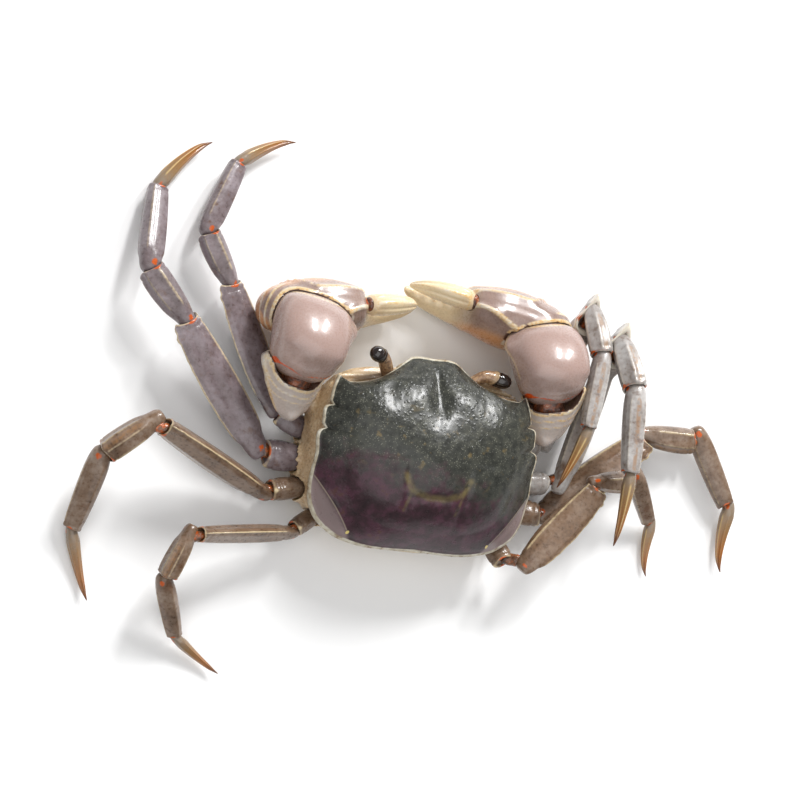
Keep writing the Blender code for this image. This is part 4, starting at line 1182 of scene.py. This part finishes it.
def lineDistance(x, y, start, end):
    # how far each point is from a straight line between two points
    start, end = np.array(start), np.array(end)
    way = end - start
    share = np.clip(((x - start[0]) * way[0] + (y - start[1]) * way[1]) / way.dot(way), 0, 1)
    return np.hypot(x - start[0] - share * way[0], y - start[1] - share * way[1])


def nearLines(x, y, lines):
    return np.min([lineDistance(x, y, start, end) for start, end in lines], axis=0)


def makeBackShell(finish):
    size = backShell
    deselect()
    bpy.ops.mesh.primitive_grid_add(x_subdivisions=size["across"], y_subdivisions=size["along"], size=2)
    piece = bpy.context.object
    piece.name = piece.data.name = "back_shell.dome"
    flat = points(piece)
    u, v = flat[:, 0], flat[:, 1]
    s = np.maximum(np.abs(u), np.abs(v))
    safe = np.maximum(s, 1e-9)
    eu, ev = u / safe, np.where(s > 1e-9, v / safe, -1.0)
    front, left, right, rear = (evenRun(run, 400) for run in shellEdge())
    edge = np.zeros((len(u), 2))
    for run, chosen, way in (
        (front, ev <= -1 + 1e-9, eu),
        (rear, ev >= 1 - 1e-9, eu),
        (left, eu >= 1 - 1e-9, ev),
        (right, eu <= -1 + 1e-9, ev),
    ):
        at = (way + 1) / 2 * 400
        for k in range(2):
            edge[chosen, k] = np.interp(at[chosen], np.arange(401), run[:, k])
    # an even rounded square inside, the true outline at the edge
    reach = (
        (np.abs(edge[:, 0]) / size["halfWidth"]) ** size["roundness"]
        + (np.abs(edge[:, 1]) / size["halfLength"]) ** size["roundness"]
    ) ** (-1 / size["roundness"])
    smooth = edge * reach[:, None]
    crisp = np.clip((s - 0.8) / 0.2, 0, 1)[:, None]
    hub = np.array(size["hub"])
    place = hub + (smooth * (1 - crisp) + edge * crisp - hub) * s[:, None]
    x, y = place[:, 0], place[:, 1]
    low = smoothRead(size["edgeHeights"], smooth[:, 1] * (1 - crisp[:, 0]) + edge[:, 1] * crisp[:, 0])[:, 0]
    high = low + (size["crown"] - low) * np.clip(1 - s**2.3, 0, 1) ** 0.85
    high += shellRelief(x, y) * (1 - s**8)
    # the facet behind each hind corner, with a ridge line round it
    facet = np.zeros(len(u))
    ridge = np.zeros(len(u))
    for side in (-1, 1):
        start, end = np.array(size["facet"])
        normal = np.array([end[1] - start[1], start[0] - end[0]])
        normal = normal / np.linalg.norm(normal)
        beyond = (side * x - start[0]) * normal[0] + (y - start[1]) * normal[1]
        facet = np.maximum(facet, softStep(beyond, -0.1, 0.35))
        shown = (np.abs(x) > 9) * (y > 3) * (1 - softStep(y, 12.6, 13.4))
        ridge = np.maximum(ridge, hill(beyond, 0.0, 0.3) * shown)
    high += 0.12 * ridge - 0.3 * facet * softStep(s, 0.7, 0.9) * (1 - s**8)
    # a raised bead along the margin with a fine groove inside it
    high += 0.14 * hill(s, 0.993, 0.008) - 0.1 * hill(s, 0.972, 0.01)
    found = np.stack([x, y, high], axis=1)
    # low granules, raised more in front than behind
    grains = np.array([noise.voronoi(Vector((a * 1.5, b * 1.5, 0)))[0][0] for a, b in zip(x, y)])
    frontness = 1 - softStep(y, -9.0, 3.0)
    high += size["grain"] * softStep(0.42 - grains, 0.0, 0.3) * (0.5 + 1.2 * frontness) * (1 - s**6)
    level = np.stack([x, y, 0 * x], axis=1)
    waves = grainAt(level, 0.55) * 0.05 + grainAt(level, 1.7, 5) * 0.02
    found[:, 2] = high + waves * (1 - s**8)
    movePoints(piece, found * mm)
    cup = 1 - softStep(nearLines(x, y, size["cup"]), 0.1, 0.75)
    stems = 0.7 * (1 - softStep(nearLines(x, y, size["stems"]), 0.05, 0.4))
    mark = np.maximum(cup, stems)
    rim = softStep(s, *size["rimWidth"])
    keepMarks(piece, "marks", np.stack([rim, mark, facet * softStep(s, 0.5, 0.7)], axis=1))
    keepMarks(piece, "skin", np.stack([s, ridge, facet], axis=1))
    # the edge turns down and under, and is closed
    bpy.ops.object.mode_set(mode="EDIT")
    bpy.ops.mesh.select_all(action="DESELECT")
    bpy.ops.mesh.select_non_manifold()
    middle = (0, hub[1] * mm, 12 * mm)
    for drop, inset in size["underEdge"]:
        bpy.ops.mesh.extrude_region_move(TRANSFORM_OT_translate={"value": (0, 0, -drop * mm)})
        bpy.ops.transform.resize(value=(inset, inset, 1), center_override=middle)
    bpy.ops.mesh.edge_face_add()
    bpy.ops.object.mode_set(mode="OBJECT")
    settle(piece, finish, "shell", "back_shell")
    return piece


def shellFinish():
    material, shader, wire, place = startFinish("back shell", 0.3, 0.06, 0.1, 1.42)
    x, y = axes(place)[:2]
    rim, mark, facet = marks(wire, "marks")
    s = marks(wire, "skin")[0]
    soft = cloud(place, 0.16, 4)
    fine = cloud(place, 0.9, 4)
    dots = cells(place, 1.6)
    specks = cells(place, 3.4)
    green = (fine * 0.7 + soft * 0.3).ramp(
        (0.3, rgb(31, 32, 28)), (0.5, rgb(48, 49, 44)), (0.7, rgb(69, 69, 60)))
    blotch = cloud(place, 0.55, 3).rise(0.6, 0.72) * y.hump(-1.0, 9.0)
    green = green.paint(rgb(118, 100, 62), blotch * 0.55)
    pale = specks.rise(0.28, 0.12) * fine.rise(0.36, 0.54) * y.rise(9.0, -1.0)
    green = green.paint(rgb(136, 136, 122), pale * 0.8)
    purple = cloud(place, 0.5, 4).ramp(
        (0.3, rgb(32, 14, 20)), (0.48, rgb(50, 26, 34)), (0.62, rgb(68, 36, 50)), (0.75, rgb(72, 44, 36)))
    broken = cloud(place, 0.3, 5, 0.65)
    rear = (y + (broken - 0.5) * 14 + (fine - 0.5) * 5 + x * 0.2).rise(2.5, 8.0)
    colour = green.paint(purple, rear)
    colour = colour.paint(rgb(140, 124, 122), facet * (0.3 + s.rise(0.75, 1.0) * 0.5))
    colour = colour.paint(rgb(104, 92, 56), mark * (fine * 1.2 - 0.05).rise(0.2, 0.7) * 0.7)
    # a thin pale line along the facet, with a spot at its hind end
    side = x.size()
    line = (side * 0.8 + y * 0.6).hump(17.08, 0.13) * y.rise(4.4, 5.4) * y.rise(13.2, 12.6)
    spot = side.hump(11.5, 0.34) * y.hump(13.1, 0.34)
    colour = colour.paint(rgb(164, 152, 134), line * 0.6)
    colour = colour.paint(rgb(206, 186, 110), spot.rise(0.1, 0.4))
    edge = fine.ramp((0.3, rgb(132, 112, 88)), (0.5, rgb(176, 168, 148)), (0.75, rgb(206, 202, 190)))
    colour = colour.paint(edge, (rim * (0.7 + fine * 0.6)).rise(0.4, 0.85))
    wet = 0.22 + fine * 0.14 + dots.rise(0.3, 0.1) * 0.14
    height = dots.rise(0.45, 0.1) * (0.12 + y.rise(0.0, -8.0) * 0.3) + fine * 0.18
    endFinish(shader, wire, colour, wet, height, 0.1, 0.7)
    return material


# floor, light and camera
studio = {
    "sky": 0.36,
    "windows": {
        "window left": ((-0.19, -0.745, 0.64), 0.12, 0.34, 7.0),
        "window right": ((-0.475, -0.705, 0.53), 0.12, 0.34, 7.0),
        "soft top": ((0.3, 0.5, 1.4), 2.0, 2.0, 16.0),
    },
}


def makeStage():
    deselect()
    bpy.ops.mesh.primitive_plane_add(size=6)
    floor = bpy.context.object
    floor.name = floor.data.name = "floor"
    material, shader = startFinish("pale floor", 0.55)[:2]
    shader.inputs["Base Color"].default_value = (0.86, 0.86, 0.86, 1)
    floor.data.materials.append(material)
    world = bpy.data.worlds.new("studio")
    world.use_nodes = True
    world.node_tree.nodes["Background"].inputs["Color"].default_value = (1.0, 1.0, 1.0, 1)
    world.node_tree.nodes["Background"].inputs["Strength"].default_value = studio["sky"]
    bpy.context.scene.world = world
    bpy.context.scene.view_settings.view_transform = "Standard"
    for name, (place, wide, high, power) in studio["windows"].items():
        light = bpy.data.lights.new(name, "AREA")
        light.shape = "RECTANGLE"
        light.size = wide
        light.size_y = high
        light.energy = power
        lamp = bpy.data.objects.new(name, light)
        bpy.context.scene.collection.objects.link(lamp)
        lamp.location = place
        lamp.rotation_mode = "QUATERNION"
        lamp.rotation_quaternion = (Vector((0, -0.005, 0.01)) - Vector(place)).to_track_quat("-Z", "Y")


view = {
    "azimuth": 112,
    "elevation": 68,
    "roll": 4,
    "distance": 0.465,
    "lens": 135,
    "target": (0.0035, -0.0085, 0.008),
}


def makeCamera():
    azimuth, elevation = math.radians(view["azimuth"]), math.radians(view["elevation"])
    level = math.cos(elevation)
    back = Vector((math.sin(azimuth) * level, -math.cos(azimuth) * level, math.sin(elevation)))
    # the crab faces the top of the picture, a little to the right
    facing = Vector((0, -1, 0))
    up = (facing - back * facing.dot(back)).normalized()
    up = Matrix.Rotation(math.radians(view["roll"]), 3, back) @ up
    right = up.cross(back).normalized()
    camera = bpy.data.objects.new("camera", bpy.data.cameras.new("camera"))
    bpy.context.scene.collection.objects.link(camera)
    camera.data.lens = view["lens"]
    turn = Matrix((right, up, back)).transposed().to_4x4()
    camera.matrix_world = Matrix.Translation(Vector(view["target"]) + back * view["distance"]) @ turn
    bpy.context.scene.camera = camera


makeCamera()
makeStage()
print("stage ready")
makeBackShell(shellFinish())
makeBody(bodyFinish())
print("back shell and body done")
plateLook = plateFinish()
makeTailFlap(plateLook)
eyeLook = eyeFinish()
skinLook = jointSkinFinish()
shadedClawSkinLook = shadedClawSkinFinish()
clawLooks = {kind: clawFinish(kind) for kind in clawColours}
for sideName in ("left", "right"):
    makeMouthPlate(sideName, plateLook)
    makeEye(sideName, eyeLook)
    makeClaw(sideName, clawLooks, shadedClawSkinLook)
print("face and claws done")
legLooks = {look: legFinish(look) for look in legColours}
tipLook = tipFinish()
for legName, leg in legs.items():
    makeLeg(legName, {"shell": legLooks[leg["look"]], "tip": tipLook}, skinLook)
print("legs done")
